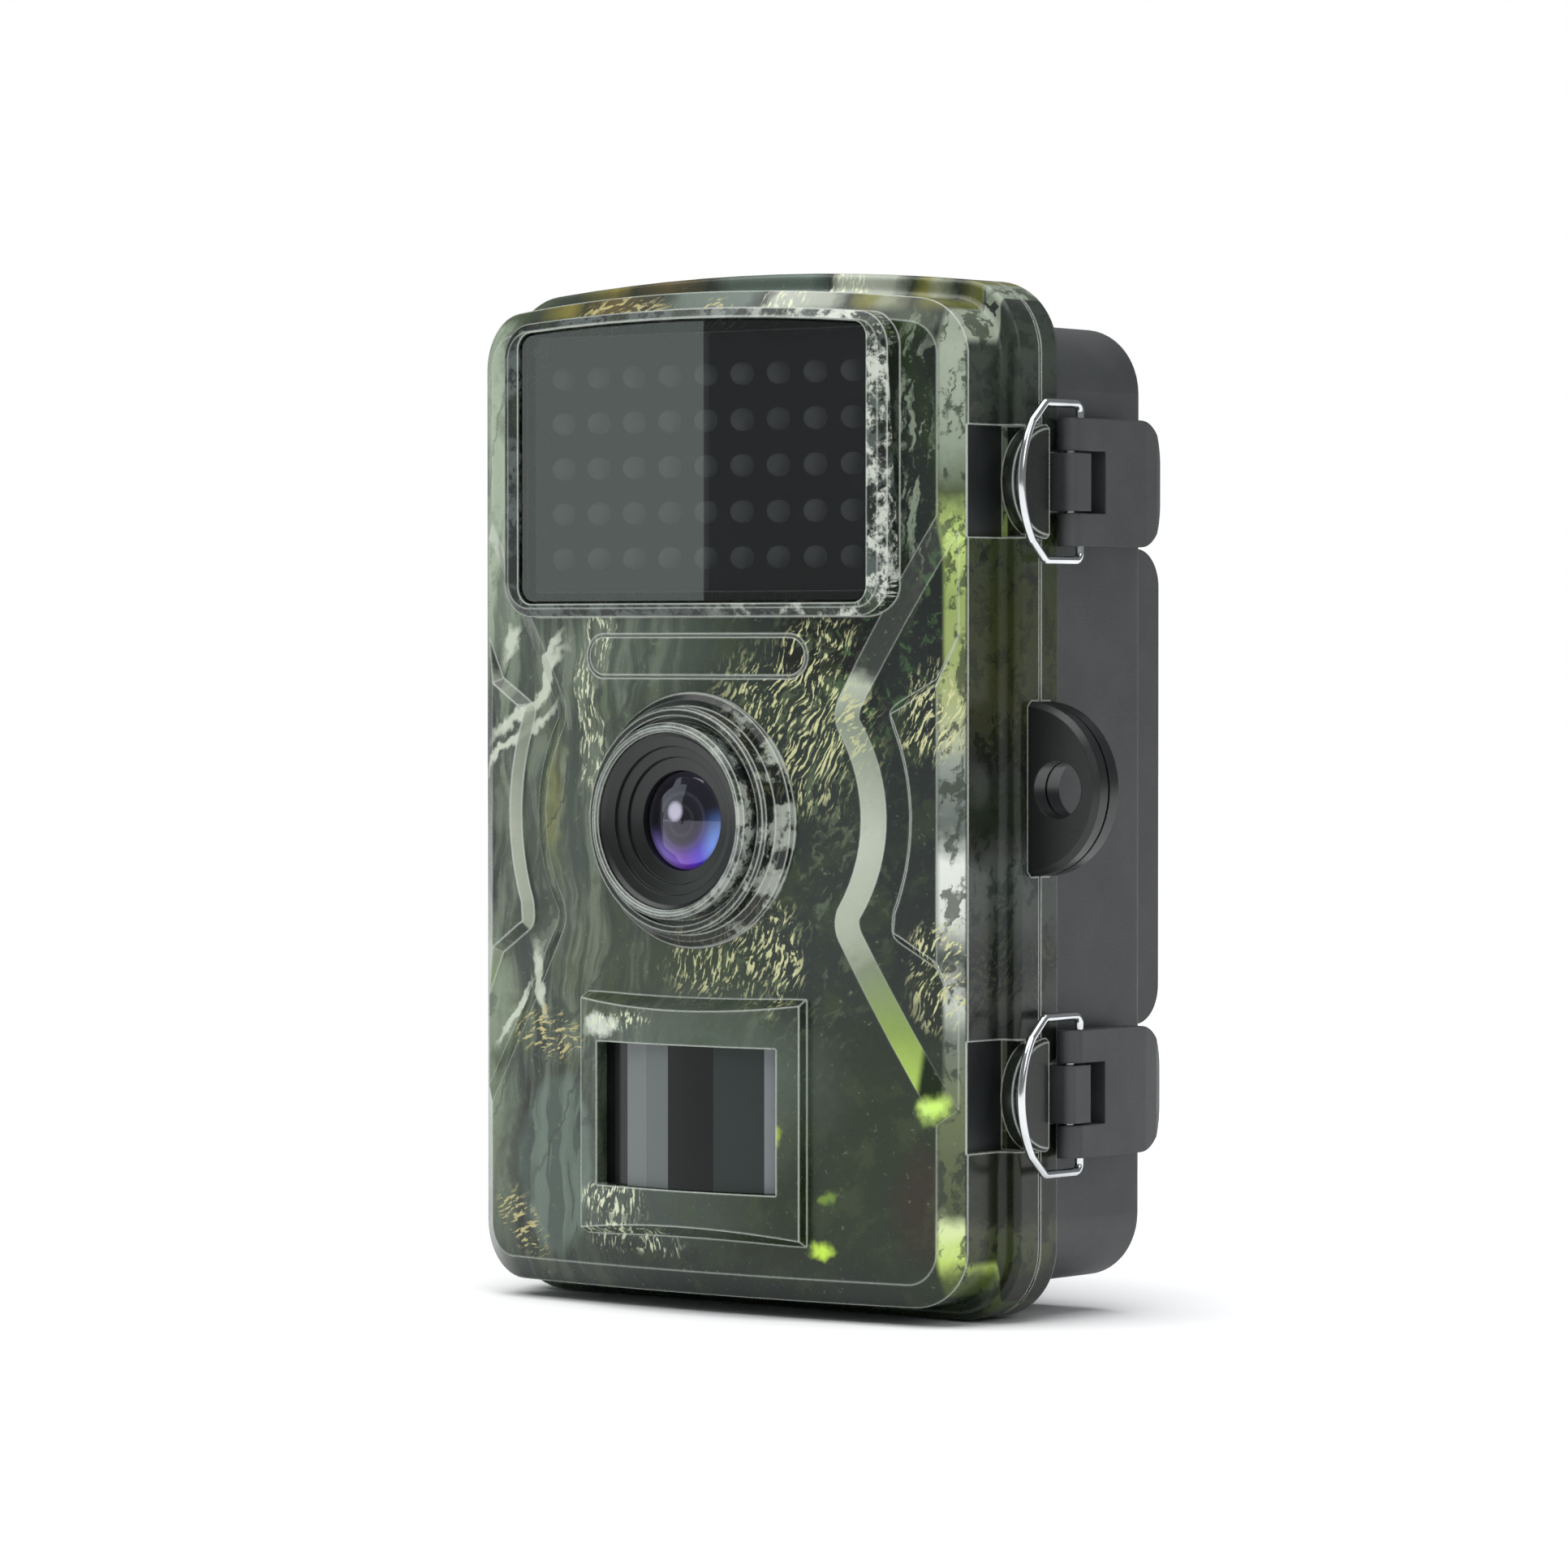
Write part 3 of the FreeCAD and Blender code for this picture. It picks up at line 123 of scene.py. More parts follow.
class Shader:
    """Builds one material's nodes. Places are in millimetres of the model's own frame."""

    def __init__(self, name):
        self.material = bpy.data.materials.new(name)
        self.material.use_nodes = True
        self.tree = self.material.node_tree
        self.tree.nodes.clear()
        output = self.tree.nodes.new("ShaderNodeOutputMaterial")
        self.surface = self.tree.nodes.new("ShaderNodeBsdfPrincipled")
        self.tree.links.new(self.surface.outputs[0], output.inputs[0])
        own = self.tree.nodes.new("ShaderNodeTexCoord").outputs
        self.place = self.vector("SCALE", own["Object"], scale=1 / MM)
        self.x, self.y, self.z = self.split(self.place)
        self.facing = own["Normal"]

    def node(self, kind, inputs=None, **settings):
        made = self.tree.nodes.new(kind)
        for key, value in settings.items():
            setattr(made, key, value)
        for key, value in (inputs or {}).items():
            self.join(made.inputs[key], value)
        return made

    def join(self, socket, value):
        if isinstance(value, bpy.types.NodeSocket):
            self.tree.links.new(value, socket)
        elif isinstance(value, tuple) and len(value) == 3 and socket.type == "RGBA":
            socket.default_value = (*value, 1)
        else:
            socket.default_value = value

    def set(self, name, value):
        self.join(self.surface.inputs[name], value)

    def split(self, vector):
        return self.node("ShaderNodeSeparateXYZ", {"Vector": vector}).outputs

    def vector(self, operation, first, second=(0, 0, 0), scale=1.0):
        inputs = {0: first, "Scale": scale} if operation == "SCALE" else {0: first, 1: second}
        return self.node("ShaderNodeVectorMath", inputs, operation=operation).outputs[0]

    def math(self, operation, first, second=0.0):
        return self.node("ShaderNodeMath", {0: first, 1: second}, operation=operation).outputs[0]

    def noise(self, scale, detail=3.0, roughness=0.55, distortion=0.0, where=None):
        inputs = {"Vector": where or self.place, "Scale": scale, "Detail": detail,
                  "Roughness": roughness, "Distortion": distortion}
        return self.node("ShaderNodeTexNoise", inputs).outputs["Fac"]

    def step(self, value, low, high):
        """Rises smoothly from 0 to 1 between two values."""
        inputs = {"Value": value, "From Min": low, "From Max": high}
        made = self.node("ShaderNodeMapRange", inputs, interpolation_type="SMOOTHSTEP", clamp=False)
        return made.outputs[0]

    def ramp(self, value, stops):
        made = self.node("ShaderNodeValToRGB", {"Fac": value})
        elements = made.color_ramp.elements
        while len(elements) < len(stops):
            elements.new(0.5)
        for element, (position, colour) in zip(elements, stops):
            element.position = position
            element.color = (*colour, 1)
        return made.outputs["Color"]

    def mix(self, factor, first, second, blend="MIX"):
        made = self.node("ShaderNodeMix", {"Factor": factor}, data_type="RGBA", blend_type=blend)
        self.join(made.inputs[6], first)
        self.join(made.inputs[7], second)
        return made.outputs[2]

    def spread(self, value, low, high):
        """Carries 0..1 over to another span."""
        inputs = {"Value": value, "To Min": low, "To Max": high}
        return self.node("ShaderNodeMapRange", inputs, clamp=False).outputs[0]

    def scattered(self, amount, scale, detail=2.0):
        """The place pushed about by up to half an amount, in millimetres."""
        inputs = {"Vector": self.place, "Scale": scale, "Detail": detail}
        colour = self.node("ShaderNodeTexNoise", inputs).outputs["Color"]
        parts = self.node("ShaderNodeSeparateColor", {"Color": colour}).outputs
        push = self.node("ShaderNodeCombineXYZ", {0: parts[0], 1: parts[1], 2: parts[2]}).outputs[0]
        centred = self.vector("SUBTRACT", push, (0.5, 0.5, 0.5))
        return self.vector("ADD", self.place, self.vector("SCALE", centred, scale=amount))

    def from_lens(self):
        """The distance from the lens's axis, in millimetres."""
        middle = self.vector("SUBTRACT", self.place, (0, 0, LENS_HEIGHT))
        flat = self.vector("MULTIPLY", middle, (1, 0, 1))
        return self.node("ShaderNodeVectorMath", {0: flat}, operation="LENGTH").outputs["Value"]

    def bump(self, height, distance, edge=0.0):
        """Small relief, and edges rounded by a radius in millimetres."""
        inputs = {"Height": height, "Distance": distance * MM}
        if edge:
            inputs["Normal"] = self.node("ShaderNodeBevel", {"Radius": edge * MM}, samples=3).outputs[0]
        self.set("Normal", self.node("ShaderNodeBump", inputs).outputs[0])


def tone(code):
    """A colour given by its six-figure screen code, in the linear values that shaders use."""
    values = [int(code[start:start + 2], 16) / 255 for start in (0, 2, 4)]
    return tuple(v / 12.92 if v <= 0.04045 else ((v + 0.055) / 1.055) ** 2.4 for v in values)


def plain(name, dark, light, roughness, grain=2.0, depth=0.02, metallic=0.0, specular=0.5, edge=0.0):
    """A moulded or metal finish: slight mottling, fine grain and uneven gloss."""
    shader = Shader(name)
    shader.set("Base Color", shader.ramp(shader.noise(0.12, 4.0), [
        (0.3, tone(dark)), (0.7, tone(light))]))
    shader.set("Roughness", shader.spread(shader.noise(0.3), roughness * 0.85, roughness * 1.15))
    shader.set("Metallic", metallic)
    shader.set("Specular IOR Level", specular)
    shader.bump(shader.noise(grain, 2.0), depth, edge)
    return shader


def give(shader, *names):
    for name in names:
        data = nodes[name].data
        data.materials.clear()
        data.materials.append(shader.material)


def give_where(shader, name, test):
    """Gives a second finish to the faces of a node whose centre, in millimetres, passes a test."""
    data = nodes[name].data
    data.materials.append(shader.material)
    slot = len(data.materials) - 1
    for face in data.polygons:
        if test(*(face.center / MM)):
            face.material_index = slot


# ---------------------------------------------------------------- the woodland print

class Print(Shader):
    """A woodland print laid on from the front: soft patches first, then twigs, bark and leaves, with a
    painted highlight along the edges last.
    """

    def __init__(self, name, roughness=0.26):
        super().__init__(name)
        self.flow = self.scattered(7.0, 0.09)
        ripple = self.vector("SUBTRACT", self.scattered(2.4, 0.7, 4.0), self.place)
        self.rough_flow = self.vector("ADD", self.flow, ripple)
        self.paint = self.ramp(self.noise(0.07, 4.0, where=self.flow), [
            (0.3, tone("0d120f")), (0.48, tone("1a231c")),
            (0.6, tone("24321c")), (0.72, tone("3a4a2e"))])
        self.finish = roughness

    def spot(self, x, z, wide, high, turn=0.0, soft=0.5, where=None):
        """A ragged ellipse turned anticlockwise as seen from the front."""
        inputs = {"Vector": where or self.rough_flow, "Location": (x, 0, z),
                  "Rotation": (0, -math.radians(turn), 0), "Scale": (wide, 1e6, high)}
        inner = self.node("ShaderNodeMapping", inputs, vector_type="TEXTURE").outputs[0]
        reach = self.node("ShaderNodeVectorMath", {0: inner}, operation="LENGTH").outputs["Value"]
        return self.step(reach, 1 + soft, 1 - soft)

    def lay(self, colour, mask, strength=1.0):
        if strength != 1.0:
            mask = self.math("MULTIPLY", mask, strength)
        self.paint = self.mix(mask, self.paint, colour)

    def drawn_out(self, where, turn, along, across):
        """A place turned about Y, then scaled apart, so that noise on it makes long marks."""
        inputs = {"Vector": where, "Angle": math.radians(turn)}
        turned = self.node("ShaderNodeVectorRotate", inputs, rotation_type="Y_AXIS").outputs[0]
        return self.vector("MULTIPLY", turned, (along, across * 0.4, across))

    def streaks(self, turn, along, across, low, high, detail=4.0, where=None):
        """Long flecks at an angle; the scales are turns of the noise per millimetre."""
        longed = self.drawn_out(where or self.rough_flow, turn, along, across)
        return self.step(self.noise(1.0, detail, 0.6, where=longed), low, high)

    def twigs(self, turn, along, across, thickness):
        """Thin winding lines."""
        longed = self.drawn_out(self.rough_flow, turn, along, across)
        ridge = self.math("ABSOLUTE", self.math("SUBTRACT", self.noise(1.0, 1.5, where=longed), 0.5))
        return self.step(ridge, thickness, thickness * 0.35)

    def leaves(self, scale, low, high):
        """Leaf outlines."""
        longed = self.vector("MULTIPLY", self.rough_flow, (1.0, 0.5, 0.6))
        edge = self.node("ShaderNodeTexVoronoi", {"Vector": longed, "Scale": scale},
                         feature="DISTANCE_TO_EDGE").outputs["Distance"]
        return self.step(edge, high, low)

    def both(self, first, second):
        return self.math("MULTIPLY", first, second)

    def union(self, masks):
        total = masks[0]
        for mask in masks[1:]:
            total = self.math("MAXIMUM", total, mask)
        return total

    def bands(self, position, stops):
        """Colours at stated places, in millimetres, along one axis."""
        low, high = stops[0][0], stops[-1][0]
        inputs = {"Value": position, "From Min": low, "From Max": high}
        along = self.node("ShaderNodeMapRange", inputs).outputs[0]
        span = high - low
        return self.ramp(along, [((place - low) / span, tone(colour)) for place, colour in stops])

    def edges(self, radius):
        """A thin line along every edge of the shape, where a painted highlight goes."""
        rounded = self.node("ShaderNodeBevel", {"Radius": radius * MM}, samples=4).outputs[0]
        own = self.node("ShaderNodeNewGeometry").outputs["Normal"]
        inputs = {0: rounded, 1: own}
        level = self.node("ShaderNodeVectorMath", inputs, operation="DOT_PRODUCT").outputs["Value"]
        return self.step(level, 0.99, 0.93)

    def close(self):
        # Painted highlight: a pale line along every edge, where the rounded edges would catch the
        # light.
        self.lay(tone("dde3da"), self.edges(0.4), 0.85)
        self.set("Base Color", self.paint)
        self.set("Roughness", self.spread(self.noise(0.4, 3.0), self.finish * 0.8, self.finish * 1.25))
        self.set("Specular IOR Level", 0.3)
        self.set("Coat Weight", 0.12)
        self.set("Coat Roughness", 0.1)
        self.bump(self.noise(2.5, 3.0), 0.012, 0.3)
        return self


# Soft patches: X, Z, half width, half height (mm), turn, softness, colour.
PATCHES = [
    (-37, 72, 5, 60, 0, 0.5, "77856f"), (-37, 108, 4.0, 24, 0, 0.6, "a3b09a"),
    (-24, 66, 11, 28, 8, 0.55, "333e35"), (-12, 86, 20, 6, 0, 0.6, "39453a"),
    (-25.5, 64, 2.0, 10, -4, 0.7, "6a6d3f"), (-12, 45, 14, 9, 0, 0.6, "35402c"),
    (-29, 50, 6, 11, 0, 0.5, "2f3833"), (-22, 31, 15, 3.5, 0, 0.5, "252d28"),
    (24, 22, 20, 24, 0, 0.45, "1f2b17"), (36, 15, 4, 6, 0, 0.6, "2c2418"),
    (17, 62, 12, 26, 10, 0.5, "242d28"), (30, 88, 9, 12, 0, 0.5, "101512"),
    (33, 66, 6, 30, 0, 0.4, "1e2523"), (30, 108, 6, 14, 0, 0.4, "1e2624"),
    (-8, 13, 18, 5, 0, 0.4, "37423a"), (0, 3, 40, 4, 0, 0.5, "1c241f"),
    (2, 30, 18, 12, 0, 0.4, "4a564b"), (-14, 37, 3.0, 1.6, 0, 0.3, "c4ccbf"),
    (-38, 66, 3.6, 17, 0, 0.25, "18201a"), (24, 90, 6, 12, -50, 0.3, "0b0f0c"),
]

# Light stripes low and high on the hinge side: X, Z, half width, half height, turn.
STRIPES = [(-30, 80, 9, 0.9, 42), (-33, 74, 8, 0.7, 38), (-27, 84, 5, 0.6, 48),
           (-28, 42, 1.0, 5, 12), (-34, 38, 5, 0.6, 50), (-35, 87, 3, 1.0, 60)]

# Clusters of bark for each direction of the flecks: X, Z, half width, half height, turn.
BARK = [
    (62, "cfcf9c", [(16, 76, 9, 11, 60), (19, 86, 7, 3, 30), (3, 47, 7, 5, 20), (9, 49, 3.5, 8, 0),
                    (38, 45, 5, 6, 0), (36, 78, 4, 6, 0), (14, 48, 3, 7, 0)]),
    (84, "dde0c0", [(-18, 76, 2.2, 9, 6), (-16, 88, 2.4, 4, 0), (-12, 14, 5, 2.2, 0),
                    (15, 132, 3, 3, 0), (-11, 37.5, 5, 1.8, 0), (-10, 9, 7, 2.5, 0)]),
    (25, "bdb27c", [(-26, 35, 8, 3, 0), (-32, 10, 6, 3, -40), (-14, 130, 8, 2.4, 5),
                    (-27, 124, 5, 2.5, 20), (4, 128.5, 5, 2, 0)]),
]

# Lights among the leaves: X, Z, radius, colour.
GLOWS = [
    (20.5, 9, 1.0, "c4e84e"), (22, 16, 0.7, "6d8a34"), (15.5, 24, 1.1, "98a63c"),
    (36.4, 27, 1.5, "c8ec74"),
]

# Colours by height on the narrow slope between the face and the latch side's wall: the print, painted
# paler as light falling on the slope.
LIT_SLOPE = [(0, "232b18"), (6, "4f5e2c"), (9, "c4dd72"), (12, "dfeeb0"), (15, "4a5239"),
         (28, "6a7350"), (38, "6d766c"), (42, "c9cec2"), (46, "3c443f"), (52, "d5dad0"),
         (60, "e2e6de"), (64, "5c655f"), (71, "8b948c"), (74, "b0b597"), (82, "a0ab70"),
         (92, "92a560"), (101, "c0d87c"), (105, "4a5638"), (112, "8a9784"), (124, "a3ad9b"),
         (135, "6b7767")]

# Colours by height on the walls of the channels that face the latches: painted light, pale and lime low
# down, with painted shade high up.
LIT_WALLS = [(22, "d8f08e"), (30, "b9d868"), (38, "93ab5e"), (46, "8c9780"), (50, "b9c1ae"), (62, "c9d0bf"),
         (76, "8f9a88"), (81, "c4ccb9"), (84, "2b322a"), (104, "151a15")]

# Colours by height on the latch side's wall: painted shade, near black where the flange shadows it,
# with a few paler marks.
SHADED_SIDE = [(0, "0a0d0a"), (14, "141a0f"), (28, "0e120c"), (40, "0a0d0b"), (50, "1a211d"), (58, "232c27"),
        (61, "0e120d"), (66, "182010"), (72, "0b0e0c"), (78, "1d200f"), (90, "212410"), (97, "0d110e"),
        (110, "0b0e0c"), (124, "252d27"), (135, "161b18")]

# Colours along the top edge, from the hinge to the latches.
TOP = [(-40, "4b553c"), (-30, "3a4133"), (-23, "7d7436"), (-20, "34321f"), (-14, "5e5230"),
       (-8, "23281f"), (-4, "58665c"), (9, "5f6e65"), (12, "262d27"), (14, "b4b8ac"),
       (22, "a5aa9c"), (24.5, "232917"), (27, "77762f"), (29, "8d9278"), (32, "20271a"),
       (35, "616325"), (39, "6a692c"), (42, "40451d")]


def hinge_side(cover):
    """Mist, dark stems and pale branches on the hinge side, with a calm pane low down."""
    left = cover.spot(-24, 72, 20, 62, 0, 0.5)
    haze = cover.streaks(88, 0.035, 0.5, 0.42, 0.66, 3.0, cover.flow)
    cover.lay(tone("8d9883"), cover.both(haze, left), 0.4)
    gloom = cover.streaks(86, 0.05, 0.42, 0.5, 0.7, 3.0, cover.flow)
    cover.lay(tone("1d2520"), cover.both(gloom, left), 0.65)
    moss = cover.streaks(40, 0.16, 0.2, 0.5, 0.68, 4.0)
    cover.lay(tone("39452a"), moss, 0.5)
    pane = cover.spot(-23.5, 18, 8.5, 11.5, 0, 0.12, cover.flow)
    cover.lay(tone("66776d"), pane, 0.7)
    stems = cover.streaks(89, 0.03, 0.55, 0.52, 0.58, 2.0, cover.flow)
    cover.lay(tone("3c4842"), cover.both(pane, stems), 0.8)
    cover.lay(tone("2c352f"), cover.both(cover.twigs(62, 0.03, 0.1, 0.022), left), 0.7)
    cover.lay(tone("ccd4c2"), cover.union([cover.spot(*stripe, 0.4) for stripe in STRIPES]), 0.8)


def latch_side(cover):
    """Leaf outlines above, and mossy grain beside the lens."""
    shade = cover.spot(30, 88, 11, 18, 0, 0.4)
    veil = cover.both(cover.leaves(0.34, 0.03, 0.14), cover.streaks(20, 0.3, 0.3, 0.5, 0.6))
    cover.lay(tone("3f5a38"), cover.both(veil, shade), 0.9)
    grain = cover.streaks(60, 0.35, 0.8, 0.52, 0.66, 5.0)
    cover.lay(tone("5d6b52"), cover.both(grain, cover.spot(16, 62, 12, 30, 0, 0.5)), 0.6)


def edges_and_walls(cover, ragged):
    """The top edge, the slope beside the face and the channels' walls, each in its own colours; on the
    slope and the walls these are painted light and shade.
    """
    cover.lay(cover.bands(ragged[0], TOP), cover.step(cover.z, TOP_EDGE, TOP_EDGE + 1.8), 0.9)
    # Painted light: the slope beside the face is painted paler, as if lit from the latch side.
    slope = cover.step(cover.x, SLOPE_START, SLOPE_START + 0.8)
    cover.lay(cover.bands(ragged[2], LIT_SLOPE), slope, 0.94)
    veins = cover.streaks(75, 0.2, 0.7, 0.5, 0.58, 5.0)
    cover.lay(tone("2b3327"), cover.both(slope, veins), 0.8)
    beside_window = cover.spot(33.5, 112, 3.2, 17, 0, 0.4)
    flecked = cover.both(cover.streaks(80, 0.1, 0.7, 0.5, 0.6, 4.0), beside_window)
    cover.lay(tone("93a08a"), flecked, 0.7)
    # Painted light and shade: the channel walls that face the latch side get the lit colours.
    rightward = cover.split(cover.facing)[0]
    walls = cover.both(cover.step(rightward, 0.34, 0.42), cover.step(cover.x, 35.0, 34.0))
    walls = cover.both(walls, cover.step(cover.math("ABSOLUTE", cover.x), 19.6, 20.2))
    cover.lay(cover.bands(ragged[2], LIT_WALLS), walls, 0.8)


def bark_and_glows(cover):
    for lean, colour, clusters in BARK:
        fleck = cover.streaks(lean, 0.5, 2.3, 0.53, 0.59, 5.0, cover.flow)
        places = cover.union([cover.spot(*cluster, 0.35) for cluster in clusters])
        cover.lay(tone(colour), cover.both(fleck, places), 0.92)
    for x, z, radius, colour in GLOWS:
        cover.lay(tone(colour), cover.spot(x, z, radius, radius * 1.15, 0, 0.75))
    speck = cover.step(cover.noise(1.1, 5.0, 0.7), 0.62, 0.7)
    cover.lay(tone("8f9a7e"), speck, 0.35)


def side_wall(cover, ragged):
    """The wall on the latch side, painted dark as shade, and the plain latch catches that stand out of
    it.
    """
    # Painted shade: the latch side's wall is painted near black.
    cover.lay(cover.bands(ragged[2], SHADED_SIDE), cover.step(cover.x, WALL_START, WALL_START + 0.3), 0.94)
    cover.lay(tone("181c19"), cover.step(cover.x, CATCH_START, CATCH_START + 0.2), 0.9)


def lens_collar(cover):
    """A dark collar, marbled with grey on the side of the latches."""
    reach = cover.from_lens()
    collar = cover.both(cover.step(reach, 12.9, 13.1), cover.step(reach, 16.9, 16.6))
    cover.lay(tone("0f1311"), collar, 0.9)
    veins = cover.step(cover.noise(0.2, 5.0, 0.65), 0.5, 0.58)
    marble = cover.both(veins, cover.step(cover.x, 3.0, 12.0))
    cover.lay(tone("b4baae"), cover.both(collar, marble), 0.7)


def woodland(name):
    """The print over the whole case, with painted light and shade on the slope, the channels' walls and
    the latch side's wall, and painted highlights along the edges.
    """
    cover = Print(name)
    for x, z, wide, high, turn, soft, colour in PATCHES:
        cover.lay(tone(colour), cover.spot(x, z, wide, high, turn, soft))
    hinge_side(cover)
    latch_side(cover)
    ragged = cover.split(cover.rough_flow)
    edges_and_walls(cover, ragged)
    bark_and_glows(cover)
    side_wall(cover, ragged)
    lens_collar(cover)
    return cover.close()


def speckled(name):
    """The same print where it covers narrow rims: white, grey and black."""
    cover = Print(name)
    right = cover.step(cover.x, -4.0, 26.0)
    cover.lay(tone("4c5451"), cover.step(cover.noise(0.16, 5.0, 0.6), 0.42, 0.56))
    white = cover.step(cover.noise(0.24, 6.0, 0.7), 0.46, 0.56)
    cover.lay(tone("c9cdc2"), cover.both(white, right), 0.9)
    cover.lay(tone("0e1110"), cover.step(cover.noise(0.5, 6.0, 0.7), 0.5, 0.57), 0.9)
    return cover.close()


# ---------------------------------------------------------------- glass, rubber and electronics

def smoked(name):
    """The dark cover over the lamps: they just show through it."""
    shader = Shader(name)
    shader.set("Base Color", shader.ramp(shader.noise(0.1), [
        (0.3, (0.002, 0.003, 0.003)), (0.7, (0.004, 0.005, 0.005))]))
    shader.set("Roughness", shader.spread(shader.noise(0.5), 0.0, 0.004))
    shader.set("Specular IOR Level", 1.0)
    shader.set("IOR", 1.62)
    shader.set("Alpha", 0.57)
    shader.bump(shader.noise(0.05, 1.0), 0.0005)
    return shader


# Upright panes of the motion sensor's lens, their greys painted reflections of the lights: left edge,
# right edge, colour.
REFLECTION_PANES = [(-13.0, -10.3, "1d2020"), (-10.3, -6.4, "6c7272"), (-6.4, -2.5, "606766"),
         (-2.5, 4.9, "060808"), (4.9, 12.2, "252e2c"), (12.2, 14.6, "7a8083")]


def motion_lens(name):
    """A dark film lens in upright panes, each with its own grey as a painted reflection."""
    shader = Shader(name)
    paint = tone("0b0d0d")
    blur = 0.08
    # Painted reflections: each upright pane gets the grey of the light it would reflect.
    for left, right, colour in REFLECTION_PANES:
        pane = shader.math("MULTIPLY", shader.step(shader.x, left - blur, left + blur),
                           shader.step(shader.x, right + blur, right - blur))
        paint = shader.mix(pane, paint, tone(colour))
    shader.set("Base Color", paint)
    shader.set("Roughness", shader.spread(shader.noise(0.4), 0.12, 0.2))
    shader.set("Specular IOR Level", 0.25)
    shader.bump(shader.noise(0.3), 0.004)
    return shader


def coated_glass(name):
    """A dark lens element: rings of glass edges, a painted highlight, and a painted violet reflection
    of the coated glass low down.
    """
    shader = Shader(name)
    up = shader.math("SUBTRACT", shader.z, LENS_HEIGHT)
    reach = shader.from_lens()
    rings = shader.ramp(shader.math("DIVIDE", reach, LENS_GLASS_RADIUS), [
        (0.0, tone("0b0c0e")), (0.26, tone("15171a")), (0.3, tone("2c2e33")), (0.36, tone("111215")),
        (0.52, tone("1b1c21")), (0.56, tone("34343c")), (0.62, tone("121318")), (0.86, tone("1d1c24")),
        (0.95, tone("3a3842"))])
    sideways = shader.math("POWER", shader.math("ADD", shader.x, 1.0), 2.0)
    upwards = shader.math("POWER", shader.math("SUBTRACT", up, 1.2), 2.0)
    # Painted highlight: a pale spot just above the middle, towards the hinge side.
    highlight = shader.step(shader.math("ADD", sideways, upwards), 2.4, 0.4)
    glass = shader.mix(highlight, rings, tone("b9b4c6"))
    # Painted reflection: the violet that the coated glass reflects, in its lower outer part.
    low = shader.step(shader.math("ADD", up, shader.math("MULTIPLY", shader.x, -0.25)), 1.0, -4.5)
    rim = shader.step(reach, 2.6, 5.8)
    coating_reflection = shader.ramp(shader.spread(shader.x, 0.45, 0.55), [
        (0.1, tone("8f7bd0")), (0.45, tone("7a3fc4")), (0.7, tone("5a3fe0")), (0.9, tone("6f9cf4"))])
    shader.set("Base Color", shader.mix(shader.math("MULTIPLY", low, rim), glass, coating_reflection))
    shader.set("Roughness", shader.spread(shader.noise(0.5), 0.02, 0.05))
    shader.set("Specular IOR Level", 0.8)
    shader.set("Specular Tint", (0.85, 0.78, 1.0))
    shader.bump(shader.noise(0.6), 0.002)
    return shader


def board(name):
    """Solder mask with tracks and holes."""
    shader = Shader(name)
    bricks = {"Vector": shader.vector("MULTIPLY", shader.place, (0.16, 0.16, 0.16)),
              "Color1": tone("0f3a22"), "Color2": tone("12442a"), "Mortar": tone("2c6b48"),
              "Mortar Size": 0.02}
    tracks = shader.node("ShaderNodeTexBrick", bricks).outputs["Color"]
    cells = {"Vector": shader.place, "Scale": 0.22}
    holes = shader.node("ShaderNodeTexVoronoi", cells).outputs["Distance"]
    shader.set("Base Color", shader.mix(shader.step(holes, 0.1, 0.08), tracks, tone("b79a52")))
    shader.set("Roughness", 0.35)
    shader.bump(holes, 0.02)
    return shader


def label_wrap(name):
    """The cells' plain printed jacket: dark with a copper-coloured top."""
    shader = Shader(name)
    along = shader.math("PINGPONG", shader.z, 27.5)
    top = shader.step(shader.math("ABSOLUTE", shader.math("SUBTRACT", along, 3.0)), 4.2, 4.0)
    shader.set("Base Color", shader.mix(top, tone("1f2426"), tone("b06f35")))
    shader.set("Roughness", shader.spread(shader.noise(0.4), 0.25, 0.35))
    shader.set("Metallic", 0.4)
    shader.bump(shader.noise(3.0), 0.01)
    return shader


def lit_screen(name):
    """The dark display, switched off, with a paler line round its picture area."""
    shader = Shader(name)
    sides = shader.step(shader.math("ABSOLUTE", shader.x), 19.6, 19.7)
    up = shader.math("SUBTRACT", shader.z, SCREEN_HEIGHT)
    ends = shader.step(shader.math("ABSOLUTE", up), 13.9, 14.0)
    glass = shader.ramp(shader.noise(0.08), [(0.3, tone("101417")), (0.7, tone("1b2126"))])
    shader.set("Base Color", shader.mix(shader.math("MAXIMUM", sides, ends), glass, tone("2d3236")))
    shader.set("Roughness", 0.12)
    shader.bump(shader.noise(1.0), 0.004)
    return shader


def clear(name, tint, alpha):
    """Clear plastic with a tint."""
    shader = Shader(name)
    light = tone(tint)
    dark = tuple(value * 0.85 for value in light)
    shader.set("Base Color", shader.ramp(shader.noise(0.3), [(0.3, dark), (0.7, light)]))
    shader.set("Roughness", shader.spread(shader.noise(0.6), 0.03, 0.08))
    shader.set("Alpha", alpha)
    shader.bump(shader.noise(0.8), 0.004)
    return shader


# ---------------------------------------------------------------- shading and finishes of every node

def shade_smooth():
    """Smooth shading with the edges of the design kept sharp."""
    for item in nodes.values():
        for face in item.data.polygons:
            face.use_smooth = True
        item.data.set_sharp_from_angle(angle=math.radians(22))


def inside_door(x, y, z):
    """The inner faces of the door's shell, without the outer faces of its rounded corners."""
    outer_corner = y < -5 and (abs(x) + z > 160 or abs(x) - z > 31)
    return y > -12.5 and abs(x) < 39.4 and 3.6 < z < 130.5 and not outer_corner


def on_ear(x, y, z):
    return x > EAR_START and abs(z - EAR_HEIGHT) < 12


